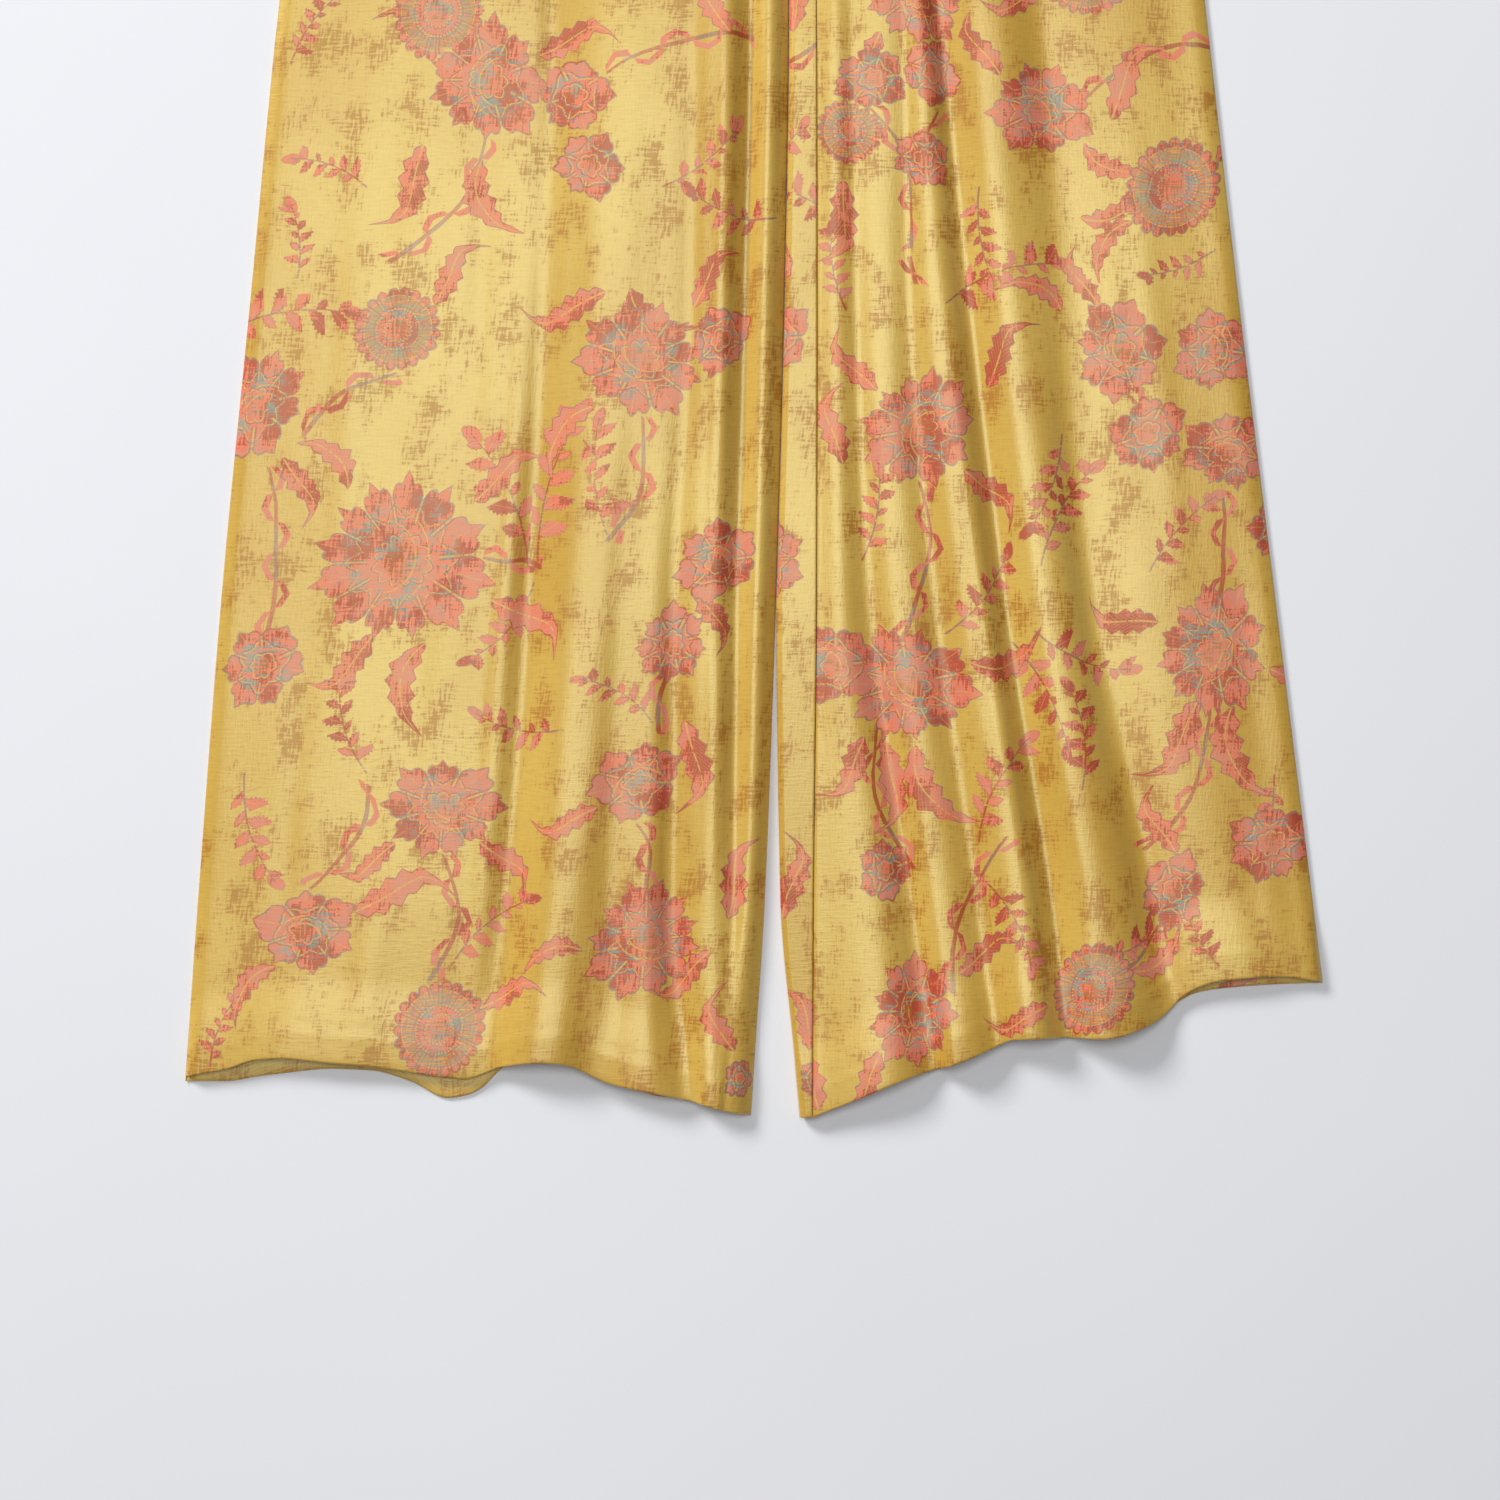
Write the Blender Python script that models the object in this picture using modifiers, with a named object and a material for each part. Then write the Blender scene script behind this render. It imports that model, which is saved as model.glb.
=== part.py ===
"""Wide-leg trousers laid out flat on a surface, front side up, at real size.

The frame: +X runs across the garment, +Y from the hems to the waist and +Z up from the
surface. The origin lies on the surface, under the middle of the garment's outline. Left and
right in the names are the wearer's, so the right leg lies at -X.

Tables are in millimetres. Across is the distance along X, down the distance below the back
waist edge, and lift the height of the cloth above the level where it lies flat.
"""

from collections import namedtuple

import bmesh
import bpy
import numpy as np
from mathutils import Vector

MM = 0.001

# The garment's main sizes
LENGTH = 1083.5  # back waist edge to the lowest hem corner
CROTCH = 286.0  # below the back waist edge
BAND_DEPTH = 38.0  # waistband
BAND_TAPER = 3.0  # how far each end of the waistband leans in towards its top edge
FRONT_DIP = 14.0  # the front waist edge lies this far below the back one at its middle
HEM_DEPTH = 20.0  # turned up inside each leg

# Cloth thicknesses, and the gap that parts neighbouring pieces
WALL = 1.2
TURN_UP = 1.0
BAND = 2.0
GAP = 0.3
EDGE = WALL + GAP + WALL  # top of a front panel where its edge lies on the back panel
HEM_STACK = 2 * (TURN_UP + GAP)  # two turned-up hems raise the front panel by this much
STACK_FADE = 35.0  # over this length above the turned-up hem
HEM_INSET = 3.0  # the back's turned-up hem ends this far short of a seam
BAND_SHOULDER = 22.0  # the front waistband sinks on to the back one over this width at each end
BAND_RISE = 1.8
TIGHT = 1.5  # above 1, valleys are narrower than the ridges between them

# How finely the cloth is divided
COLUMNS_PER_FOLD = 3
ROWS_ABOVE_HEM = (0.0, 7.0, 14.0, HEM_DEPTH + 1.0, 33.0, 46.0, 62.0)
ROWS_TO_WAIST = 22
BACK_COLUMNS = 16
ROLL_COLUMNS = 6
STRIP_COLUMNS = 2
HIP_ROWS = 6
GATHERS = 32  # ribs of the elasticated back waistband
COLUMNS_PER_GATHER = 3
GATHER_RISE = 0.4

Line = namedtuple("Line", "name kind across lift")
Hem = namedtuple("Hem", "across front back")

# Distances down at which the tables' columns are taken: waist seam, hip, crotch, then the leg
ACROSS_AT = (39, 162, 286, 358, 552, 748, 942, 1040)
LIFT_AT = (39, 286, 400, 650, 850, 1040)

# One row for each ridge and valley, from the side seam to the inseam
RIGHT_LINES = (
    Line("side", "edge", (-204, -268, -298, -308, -327, -346, -361, -368), (0, 0, 0, 0, 0, 0)),
    Line("shoulder", "ridge", (-195, -259, -289, -299, -318, -337, -352, -359), (2, 2, 2, 2, 2, 2)),
    Line("outer", "ridge", (-171, -204, -217, -220, -233, -246, -272, -304), (2.5, 3, 3, 3, 3.5, 6)),
    Line("groove", "valley", (-136, -132, -131, -129, -138, -147, -159, -172), (2, 2, 2, 1.5, 1.2, 1)),
    Line("main", "ridge", (-106, -93, -87, -80, -87, -106, -124, -136), (3, 5.5, 7.5, 9, 11.5, 15)),
    Line("short", "valley", (-90, -79, -72, -66, -71, -85, -93, -102), (3, 5.5, 7.2, 8, 8, 5)),
    Line("knee", "ridge", (-77, -69, -61, -54, -58, -67, -72, -70), (3, 5.5, 7, 7.5, 8, 10)),
    Line("calf", "valley", (-64, -56, -47, -39, -41, -52, -54, -44), (3, 5, 6.5, 6, 3.5, 2)),
    Line("thigh", "ridge", (-51, -40, -28, -21, -25, -30, -27, -28), (3, 6, 9, 8.5, 8, 9)),
    Line("deep", "valley", (-35, -21, -6, -1, -5, -10, -12, -20), (2.5, 1.5, 0.6, 0.8, 2.5, 8)),
    Line("inner", "ridge", (-15, -2, 7, 10, 7, 2, -4, -14), (3, 6, 8.5, 8, 7.5, 6.5)),
    Line("inseam", "edge", (4, 14, 21.6, 22.9, 20, 14.5, 7.3, 1), (3, 1.8, 0.4, 0, 0, 0)),
)

# One row for each ridge and valley, from the inseam, which has rolled to the front, outwards
LEFT_LINES = (
    Line("inseam", "ridge", (4, 14, 25, 41, 41.4, 41, 39, 38.5), (3, 1.8, 6, 6, 6, 4.5)),
    Line("beside", "ridge", (16, 27, 40, 51, 52, 55, 74, 82), (3, 5, 7.5, 7.5, 7.8, 11)),
    Line("soft", "valley", (29, 42, 55, 63, 66, 75, 102, 117), (3, 4.5, 5.6, 3.6, 1.5, 0.8)),
    Line("inner", "ridge", (40, 57, 73, 82, 83, 97, 120, 130), (3, 5, 7, 6.5, 7.5, 12)),
    Line("faint", "valley", (52, 70, 89, 97, 101, 118, 146, 160), (3, 5, 6, 3.8, 3.5, 5.5)),
    Line("crest", "ridge", (64, 82, 100, 107, 119, 142, 173, 182), (3, 6, 8.5, 9, 11, 15)),
    Line("deep", "valley", (77, 95, 111, 119, 139, 163, 193, 204), (2.5, 1.5, 0.8, 0.8, 0.8, 1.5)),
    Line("main", "ridge", (100, 122, 141, 150, 167, 191, 219, 228), (3, 7, 9.5, 10.5, 12.5, 16)),
    Line("outer", "valley", (124, 150, 173, 185, 198, 219, 258, 277), (2.5, 2.5, 2, 1.2, 1, 1)),
    Line("side flat", "ridge", (157, 199, 222, 232, 250, 269, 306, 324), (2.5, 3, 3.5, 3.5, 5, 6)),
    Line("shoulder", "ridge", (184, 249, 276, 284, 306, 330, 354, 366), (2, 2, 2, 2, 2, 2)),
    Line("side", "edge", (193, 258, 285, 293, 315, 339, 363, 375), (0, 0, 0, 0, 0, 0)),
)

# The inner edge of the left leg, where its back panel rolls over to the front
LEFT_INNER = (4, 14, 21.6, 22.9, 20, 14.5, 17.1, 25.8)

# How far down each hem reaches: one row for each place across where its line turns
RIGHT_HEM = (
    Hem(-369, 1057, 1060),
    Hem(-342, 1052, 1060),
    Hem(-323, 1046, 1057),
    Hem(-307, 1045, 1055),
    Hem(-275, 1048, 1052),
    Hem(-249, 1050, 1053),
    Hem(-223, 1054, 1060),
    Hem(-199, 1057.5, 1071),
    Hem(-186, 1058.5, 1069),
    Hem(-176, 1055.5, 1064),
    Hem(-164, 1050.5, 1052),
    Hem(-139, 1047.5, 1044),
    Hem(-124, 1048.5, 1045),
    Hem(-94, 1061, 1057),
    Hem(-62, 1068, 1070),
    Hem(-40, 1073, 1072),
    Hem(-15, 1080, 1076),
    Hem(2, 1082.5, 1080),
)
LEFT_HEM = (
    Hem(38, 1083.5, 1083),
    Hem(51, 1078, 1076),
    Hem(73, 1069, 1066),
    Hem(89, 1062, 1059),
    Hem(107, 1055.5, 1052),
    Hem(129, 1049, 1045),
    Hem(156, 1038, 1034),
    Hem(169, 1032.5, 1028),
    Hem(207, 1031.5, 1026),
    Hem(226, 1032, 1025),
    Hem(254, 1024.5, 1018),
    Hem(268, 1016, 1012),
    Hem(276, 1007, 1008.5),
    Hem(286, 1000, 1003),
    Hem(302, 995, 1000),
    Hem(340, 992, 997),
    Hem(369.5, 995.5, 996),
)


def smooth(stations, values, at):
    """Value at a distance on a smooth curve through a table, which never overshoots its values."""
    stations = np.asarray(stations, float)
    values = np.asarray(values, float)
    at = np.asarray(at, float)
    steps = np.diff(stations)
    secants = np.diff(values) / steps
    slopes = np.concatenate((secants[:1], np.zeros(len(values) - 2), secants[-1:]))
    same_way = secants[:-1] * secants[1:] > 0
    total = np.where(same_way, secants[:-1] + secants[1:], 1.0)
    slopes[1:-1] = np.where(same_way, 2 * secants[:-1] * secants[1:] / total, 0.0)
    i = np.clip(np.searchsorted(stations, at, side="right") - 1, 0, len(steps) - 1)
    share = (at - stations[i]) / steps[i]
    t = np.clip(share, 0, 1)
    eased = t * t * (3 - 2 * t)
    inside = values[i] * (1 - eased) + values[i + 1] * eased
    bend = t * (1 - t) * ((1 - t) * slopes[i] - t * slopes[i + 1])
    beyond = (share - t) * np.where(share < 0, slopes[0], slopes[-1])
    return inside + (bend + beyond) * steps[i]


def ease(t):
    """Smooth step from 0 to 1."""
    t = np.clip(t, 0, 1)
    return t * t * (3 - 2 * t)


def hem_down(hem, side, across):
    """How far down the hem reaches at a place across. Side is front or back."""
    across = np.clip(across, hem[0].across, hem[-1].across)
    return smooth([h.across for h in hem], [getattr(h, side) for h in hem], across)


def side_seam(lines, down):
    """Across of a leg's side seam."""
    line = next(x for x in lines if x.name == "side")
    return smooth(ACROSS_AT, line.across, down)


def centre_seam(down):
    """Across of the seam that joins the legs, and below the crotch the right leg's inner edge."""
    return smooth(ACROSS_AT, RIGHT_LINES[-1].across, down)


def waist_seam(across):
    """How far down the front waist seam lies."""
    right, left = side_seam(RIGHT_LINES, ACROSS_AT[0]), side_seam(LEFT_LINES, ACROSS_AT[0])
    middle, half = (left + right) / 2, (left - right) / 2
    return BAND_DEPTH + FRONT_DIP * (1 - ((across - middle) / half) ** 2)


def across_at(lines, u, down):
    """Across of a point that lies u lines from the first one."""
    first = int(min(u, len(lines) - 2))
    ends = [float(smooth(ACROSS_AT, line.across, down)) for line in lines[first : first + 2]]
    if first == 0 and lines is LEFT_LINES:
        ends[0] = left_inseam(down)
    if first + 2 == len(lines) and lines is RIGHT_LINES:
        ends[1] -= GAP / 2
    return ends[0] + (ends[1] - ends[0]) * (u - first)


def lift_at(lines, u, down):
    """Lift of a point that lies u lines from the first one."""
    first = int(min(u, len(lines) - 2))
    pair = lines[first : first + 2]
    share = u - first
    if pair[1].kind != "ridge":
        risen = ease(share**TIGHT)
    elif pair[0].kind != "ridge":
        risen = 1 - ease((1 - share) ** TIGHT)
    else:
        risen = ease(share)
    low, high = (float(smooth(LIFT_AT, line.lift, down)) for line in pair)
    return low + (high - low) * risen


def stack_at(above_hem):
    """How far the turned-up hems raise the front panel."""
    return HEM_STACK * float(ease((HEM_DEPTH + 1 + STACK_FADE - above_hem) / STACK_FADE))


def left_inseam(down):
    """Across of the left leg's front panel edge: the centre seam, and below the crotch the inseam."""
    if down < CROTCH:
        return float(centre_seam(down)) + GAP / 2
    rolled = left_inner(down) + roll_radius(down) + GAP
    return max(float(smooth(ACROSS_AT, LEFT_LINES[0].across, down)), rolled)


def left_inner(down):
    """Across of the left leg's inner edge, which meets the right leg's above the gap."""
    inner = max(float(smooth(ACROSS_AT, LEFT_INNER, down)), float(centre_seam(down)))
    return inner + GAP / 2


def roll_radius(down):
    """Outer radius of the rolled inner edge of the left leg, which is as high as the inseam on it."""
    above_hem = LEFT_HEM[0].front - down
    return (EDGE + float(smooth(LIFT_AT, LEFT_LINES[0].lift, down)) + stack_at(above_hem)) / 2


def hem_of_column(lines, hem, side, u):
    """How far down the hem lies on a column, found from where that column reaches it."""
    down = ACROSS_AT[-1]
    for _ in range(4):
        down = float(hem_down(hem, side, across_at(lines, u, down)))
    return down


def panel_rows(lines, hem, u):
    """Distances down of a front column's rows, from the hem to the waist seam."""
    lowest = hem_of_column(lines, hem, "front", u)
    highest = float(waist_seam(across_at(lines, u, ACROSS_AT[0]))) + GAP
    start = lowest - ROWS_ABOVE_HEM[-1]
    return [lowest - rise for rise in ROWS_ABOVE_HEM] + [
        start + (highest - start) * i / ROWS_TO_WAIST for i in range(1, ROWS_TO_WAIST + 1)
    ]


def world(across, down, height):
    """A table's point as a point of the frame, in metres."""
    return Vector((across, LENGTH / 2 - down, height)) * MM


def front_point(lines, hem_line, u, down):
    """Outer face of a front panel at a column and a distance down. The turned-up hems raise all
    of it but the edges that are sewn to the back."""
    from_first = u if lines[0].kind == "edge" else 1
    from_last = len(lines) - 1 - u if lines[-1].kind == "edge" else 1
    raised = float(np.clip(min(from_first, from_last) * COLUMNS_PER_FOLD, 0, 1))
    height = EDGE + stack_at(hem_line - down) * raised + lift_at(lines, u, down)
    return world(across_at(lines, u, down), down, height)


def inward(surface, u, down, distance):
    """A point of a surface, moved square to it by a distance towards the inside of the leg."""
    step = 0.05
    along_u = surface(u + step, down) - surface(u - step, down)
    along_down = surface(u, down - step) - surface(u, down + step)
    return surface(u, down) - along_u.cross(along_down).normalized() * distance * MM


def material(name, colour, roughness):
    """A plain cloth material."""
    made = bpy.data.materials.new(name)
    made.use_nodes = True
    shader = made.node_tree.nodes["Principled BSDF"]
    shader.inputs["Base Color"].default_value = (*colour, 1.0)
    shader.inputs["Roughness"].default_value = roughness
    shader.inputs["Metallic"].default_value = 0.0
    return made


def cloth_object(name, bm, cloth, collection, wall=None):
    """Turns a bmesh into a named object. A wall gives an open sheet its thickness, inwards."""
    mesh = bpy.data.meshes.new(name)
    bm.to_mesh(mesh)
    bm.free()
    mesh.shade_smooth()
    made = bpy.data.objects.new(name, mesh)
    made.data.materials.append(cloth)
    collection.objects.link(made)
    if wall:
        solidify = made.modifiers.new("Wall", "SOLIDIFY")
        solidify.thickness = wall * MM
        solidify.offset = -1.0
    return made


def sheet(columns, row_count, place, skip=None):
    """A grid of cloth: place gives the point of a column and a row, skip leaves out faces."""
    bm = bmesh.new()
    bmesh.ops.create_grid(bm, x_segments=columns, y_segments=row_count - 1, size=0.5)
    cell = {}
    for vertex in bm.verts:
        i = round((vertex.co.x + 0.5) * columns)
        j = round((vertex.co.y + 0.5) * (row_count - 1))
        cell[vertex] = (i, j)
        vertex.co = place(i, j)
    if skip:
        gone = [f for f in bm.faces if skip(*np.mean([cell[v] for v in f.verts], axis=0))]
        bmesh.ops.delete(bm, geom=gone, context="FACES")
    return bm


def front_panel(name, lines, hem, cloth, collection):
    """A leg's front, from its hem to the waist seam, with its folds."""
    columns = (len(lines) - 1) * COLUMNS_PER_FOLD
    downs = [panel_rows(lines, hem, i / COLUMNS_PER_FOLD) for i in range(columns + 1)]

    def place(i, j):
        return front_point(lines, downs[i][0], i / COLUMNS_PER_FOLD, downs[i][j])

    bm = sheet(columns, len(downs[0]), place)
    return cloth_object(name, bm, cloth, collection, WALL)


def front_turn_up(name, lines, hem, cloth, collection):
    """The hem of a front panel, turned up under it: the panel's own points, moved inwards."""
    per_fold = COLUMNS_PER_FOLD
    first = 2 if lines[0].kind == "edge" else 0
    last = (len(lines) - 1) * per_fold - 2
    lows = {i: hem_of_column(lines, hem, "front", i / per_fold) for i in range(first, last + 1)}
    rises = (GAP, HEM_DEPTH / 2, HEM_DEPTH)

    def place(i, j):
        column = first + i

        def surface(u, down):
            return front_point(lines, lows[column], u, down)

        return inward(surface, column / per_fold, lows[column] - rises[j], WALL + GAP)

    return cloth_object(name, sheet(last - first, len(rises), place), cloth, collection, TURN_UP)


def flat_cut(name, outline, bottom, thickness, cloth, collection):
    """A flat piece of cloth from its outline, as (across, down) points."""
    curve = bpy.data.curves.new(name, "CURVE")
    curve.dimensions = "2D"
    curve.fill_mode = "BOTH"
    curve.extrude = thickness * MM / 2
    spline = curve.splines.new("POLY")
    spline.points.add(len(outline) - 1)
    for point, (across, down) in zip(spline.points, outline):
        point.co = (*world(across, down, 0.0), 1.0)
    spline.use_cyclic_u = True
    curve.materials.append(cloth)
    made = bpy.data.objects.new(name, curve)
    made.location.z = (bottom + thickness / 2) * MM
    collection.objects.link(made)
    return made


def right_back_hem(inner):
    """The right back hem as (across, down) points, from the side seam to the inner edge."""
    outer = float(side_seam(RIGHT_LINES, RIGHT_HEM[0].back))
    places = np.linspace(outer, inner, 2 * len(RIGHT_HEM))
    return [(across, float(hem_down(RIGHT_HEM, "back", across))) for across in places]


def right_back_panel(cloth, collection):
    """The right leg's back, flat on the surface."""
    hem_inner = float(centre_seam(RIGHT_HEM[-1].back)) - GAP / 2
    hem = right_back_hem(hem_inner)
    waist = BAND_DEPTH + GAP
    inner = [
        (float(centre_seam(down)) - GAP / 2, down)
        for down in np.linspace(RIGHT_HEM[-1].back, waist, ROWS_TO_WAIST)[1:]
    ]
    outer = [
        (float(side_seam(RIGHT_LINES, down)), down)
        for down in np.linspace(waist, RIGHT_HEM[0].back, ROWS_TO_WAIST)[:-1]
    ]
    return flat_cut("back_right", hem + inner + outer, 0.0, WALL, cloth, collection)


def right_back_turn_up(cloth, collection):
    """The hem of the right leg's back, turned up on it."""
    inner = float(centre_seam(RIGHT_HEM[-1].back)) - HEM_INSET
    hem = right_back_hem(inner)
    hem[0] = (hem[0][0] + HEM_INSET, hem[0][1])
    lower = [(across, down - GAP) for across, down in hem]
    upper = [(across, down - HEM_DEPTH) for across, down in reversed(hem)]
    outline = lower + upper
    return flat_cut("hem_back_right", outline, WALL + GAP, TURN_UP, cloth, collection)


def left_back_section(column, down, inset=0.0):
    """Across and height of the left back panel's outer face at a column: the flat part from the
    side seam inwards, the rolled inner edge, and the strip that ends at the inseam on top."""
    side = float(side_seam(LEFT_LINES, down))
    if down < CROTCH:
        flat_end = float(centre_seam(down)) + GAP / 2
        return side + (flat_end - side) * min(column / BACK_COLUMNS, 1.0), inset
    radius = roll_radius(down)
    middle = left_inner(down) + radius
    if column <= BACK_COLUMNS:
        return side + (middle - side) * column / BACK_COLUMNS, inset
    column -= BACK_COLUMNS
    if column <= ROLL_COLUMNS:
        angle = np.pi * column / ROLL_COLUMNS
        small = radius - inset
        return middle - small * np.sin(angle), radius - small * np.cos(angle)
    end = left_inseam(down) - GAP
    return middle + (end - middle) * (column - ROLL_COLUMNS) / STRIP_COLUMNS, 2 * radius - inset


def left_back_hem(column):
    """How far down the left back hem lies on a column."""
    down = ACROSS_AT[-1]
    if column > BACK_COLUMNS:
        return hem_of_column(LEFT_LINES, LEFT_HEM, "front", 0)
    for _ in range(4):
        down = float(hem_down(LEFT_HEM, "back", left_back_section(column, down)[0]))
    return down


def left_back_panel(cloth, collection):
    """The left leg's back: flat on the surface, then rolled over at its inner edge. The strip on
    top has the front panel's rows, so that the two stay apart evenly along the inseam."""
    columns = BACK_COLUMNS + ROLL_COLUMNS + STRIP_COLUMNS
    seam = [down for down in panel_rows(LEFT_LINES, LEFT_HEM, 0) if down > CROTCH]
    strip_rows = len(seam) - 1
    downs = []
    for i in range(columns + 1):
        lowest = left_back_hem(i)
        leg = [lowest - rise for rise in ROWS_ABOVE_HEM]
        leg += list(np.linspace(leg[-1], seam[-1], len(seam) - len(leg) + 1)[1:])
        leg = seam if i > BACK_COLUMNS else leg
        downs.append(leg + list(np.linspace(CROTCH - GAP, BAND_DEPTH + GAP, HIP_ROWS)))

    def place(i, j):
        across, height = left_back_section(i, downs[i][j])
        return world(across, downs[i][j], height)

    def above_strip(i, j):
        return i > BACK_COLUMNS and j > strip_rows

    bm = sheet(columns, len(downs[0]), place, above_strip)
    return cloth_object("back_left", bm, cloth, collection, WALL)


def left_back_turn_up(cloth, collection):
    """The hem of the left leg's back, turned up on it and carried round its rolled edge."""
    columns = BACK_COLUMNS + ROLL_COLUMNS + STRIP_COLUMNS
    rises = (GAP, HEM_DEPTH / 2, HEM_DEPTH)

    def place(i, j):
        down = left_back_hem(i) - rises[j]
        across, height = left_back_section(i, down, WALL + GAP)
        return world(across - HEM_INSET if i == 0 else across, down, height)

    bm = sheet(columns, len(rises), place)
    return cloth_object("hem_back_left", bm, cloth, collection, TURN_UP)


def band_ends(down):
    """Across of the waistband's two ends: the side seams, leaning in towards the top edge."""
    lean = BAND_TAPER * (1 - down / BAND_DEPTH)
    right = float(side_seam(RIGHT_LINES, ACROSS_AT[0])) + lean
    left = float(side_seam(LEFT_LINES, ACROSS_AT[0])) - lean
    return right, left


def front_waistband(cloth, collection):
    """The front of the waistband, a doubled strip that follows the dipped front waist."""
    columns, strips = 22, 3

    def place(i, j):
        share = i / columns
        depth = BAND_DEPTH * (1 - j / strips)
        right, left = band_ends(depth)
        across = right + (left - right) * share
        middle, half = (left + right) / 2, (left - right) / 2
        down = depth + FRONT_DIP * (1 - ((across - middle) / half) ** 2)
        lifted = BAND_RISE * float(ease((half - abs(across - middle)) / BAND_SHOULDER))
        return world(across, down, BAND + GAP + BAND + lifted)

    return cloth_object("waistband_front", sheet(columns, strips + 1, place), cloth, collection, BAND)


def back_waistband(cloth, collection):
    """The back of the waistband: flat underneath, drawn into ribs by the elastic on top."""
    columns = GATHERS * COLUMNS_PER_GATHER
    lows = (BAND_DEPTH, 0.8 * BAND_DEPTH, 0.2 * BAND_DEPTH, 0.0)

    def place(i, j):
        right, left = band_ends(lows[j])
        rib = (1 - np.cos(2 * np.pi * i / COLUMNS_PER_GATHER)) / 2
        rise = GATHER_RISE * rib if j in (1, 2) else 0.0
        return world(right + (left - right) * i / columns, lows[j], BAND - GATHER_RISE + rise)

    bm = sheet(columns, len(lows), place)
    walls = bmesh.ops.extrude_face_region(bm, geom=bm.faces[:])
    for element in walls["geom"]:
        if isinstance(element, bmesh.types.BMVert):
            element.co.z = 0.0
    bmesh.ops.recalc_face_normals(bm, faces=bm.faces[:])
    return cloth_object("waistband_back", bm, cloth, collection)


def main():
    """Builds the trousers in a collection of their own."""
    for old in list(bpy.data.objects):
        bpy.data.objects.remove(old)
    trousers = bpy.data.collections.new("wide_leg_trousers")
    bpy.context.scene.collection.children.link(trousers)
    cloth = material("golden_brocade", (0.78, 0.56, 0.16), 0.45)
    front_panel("front_right", RIGHT_LINES, RIGHT_HEM, cloth, trousers)
    front_panel("front_left", LEFT_LINES, LEFT_HEM, cloth, trousers)
    front_turn_up("hem_front_right", RIGHT_LINES, RIGHT_HEM, cloth, trousers)
    front_turn_up("hem_front_left", LEFT_LINES, LEFT_HEM, cloth, trousers)
    right_back_panel(cloth, trousers)
    right_back_turn_up(cloth, trousers)
    left_back_panel(cloth, trousers)
    left_back_turn_up(cloth, trousers)
    front_waistband(cloth, trousers)
    back_waistband(cloth, trousers)


main()
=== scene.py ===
"""Dresses the wide-leg trousers: soft shells of figured satin with their print, folds and sewing.

Across, down and lift are in millimetres, as on the garment's pattern: across along X, down below
the back waist edge, lift above the level where the cloth lies flat. Left and right are the
wearer's, so the right leg lies at -X.
"""

import math
from collections import namedtuple

import bmesh
import bpy
import numpy as np
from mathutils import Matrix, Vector


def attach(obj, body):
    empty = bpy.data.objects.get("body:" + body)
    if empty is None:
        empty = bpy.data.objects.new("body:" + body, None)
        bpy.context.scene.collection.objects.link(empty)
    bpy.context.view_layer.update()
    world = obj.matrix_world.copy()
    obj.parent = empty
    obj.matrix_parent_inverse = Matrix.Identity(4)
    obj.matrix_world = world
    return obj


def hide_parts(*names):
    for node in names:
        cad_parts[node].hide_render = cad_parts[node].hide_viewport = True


bl_info = {
    "name": "Wide-Leg Trousers",
    "version": (1, 0, 0),
    "blender": (4, 5, 0),
    "location": "View3D > Sidebar > Trousers",
    "description": "Soft, printed cloth for trousers laid out flat, with their sewing and a stage",
    "category": "Object",
}

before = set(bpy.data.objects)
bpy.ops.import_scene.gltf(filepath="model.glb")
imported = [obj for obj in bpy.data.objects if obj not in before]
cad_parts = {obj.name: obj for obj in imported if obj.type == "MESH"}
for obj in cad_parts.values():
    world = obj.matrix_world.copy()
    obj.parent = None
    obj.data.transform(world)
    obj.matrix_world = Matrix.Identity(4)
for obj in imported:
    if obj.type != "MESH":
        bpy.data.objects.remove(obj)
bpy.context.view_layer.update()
MM = 0.001

# The cut, as the solids have it
LENGTH = 1083.5
CROTCH = 286.0
BAND_DEPTH = 38.0
BAND_TAPER = 3.0
FRONT_DIP = 14.0
HEM_DEPTH = 20.0
WALL = 1.2
TURN_UP = 1.0
BAND = 2.0
GAP = 0.3
EDGE = WALL + GAP + WALL
HEM_STACK = 2 * (TURN_UP + GAP)
STACK_FADE = 35.0
HEM_INSET = 3.0
BAND_SHOULDER = 22.0
BAND_RISE = 1.8
TIGHT = 1.5
GATHERS = 32

# How the shells are finished
ROLLED = 1.1  # edges roll inwards over this radius
FLAT_SEAM = 0.5  # the inseam that has rolled to the front is this much flatter than the others
IMPRINT = 0.35  # the turned-up edge shows through as a step this high
WEAVE_WANDER = 0.35  # the cloth's small unevenness
TURNED_UNDER = 2.2  # the front's turned-up hem shows its print this far below the panel's face
TURNED_ON = 2.3  # the back's turned-up hem shows its print this far above the panel's underside
TURN_UP_RISES = (0, 0.25, 0.7, 1.4, 5, 10, 15, 18.6, 19.3, 19.75, HEM_DEPTH)
THREAD = 0.28  # a thread's radius
STITCHED_ROW = 5  # row of the front waistband that is stitched, just above the waist seam
GATHER_RISE = 0.45  # height of the elastic's ribs
REPEAT = 660.0  # the print repeats at this distance down
UPPER_END = 385.0  # above this, the print's repeat shows
HEM_SIDE = 0.67  # a front's turned-up hem ends this share of a column inside its seams
HEM_INSEAM = 0.04  # and here at the inseam that has rolled to the front
SEED_STEP = 1.7  # the motifs of a layer differ by this much in their seed
SEEDS = 6.283  # and their seeds start again here
NEAR_LINE = 0.3  # how far from a motif's line its print reaches, as a share of its length

# Rough widths, which only set how many columns a piece has
BACK_WIDTH = 340
FLAT_BACK_WIDTH = 330
BACK_HEM_WIDTH = 360
STRIP_WIDTH = 17
BAND_WIDTH = 390

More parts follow.
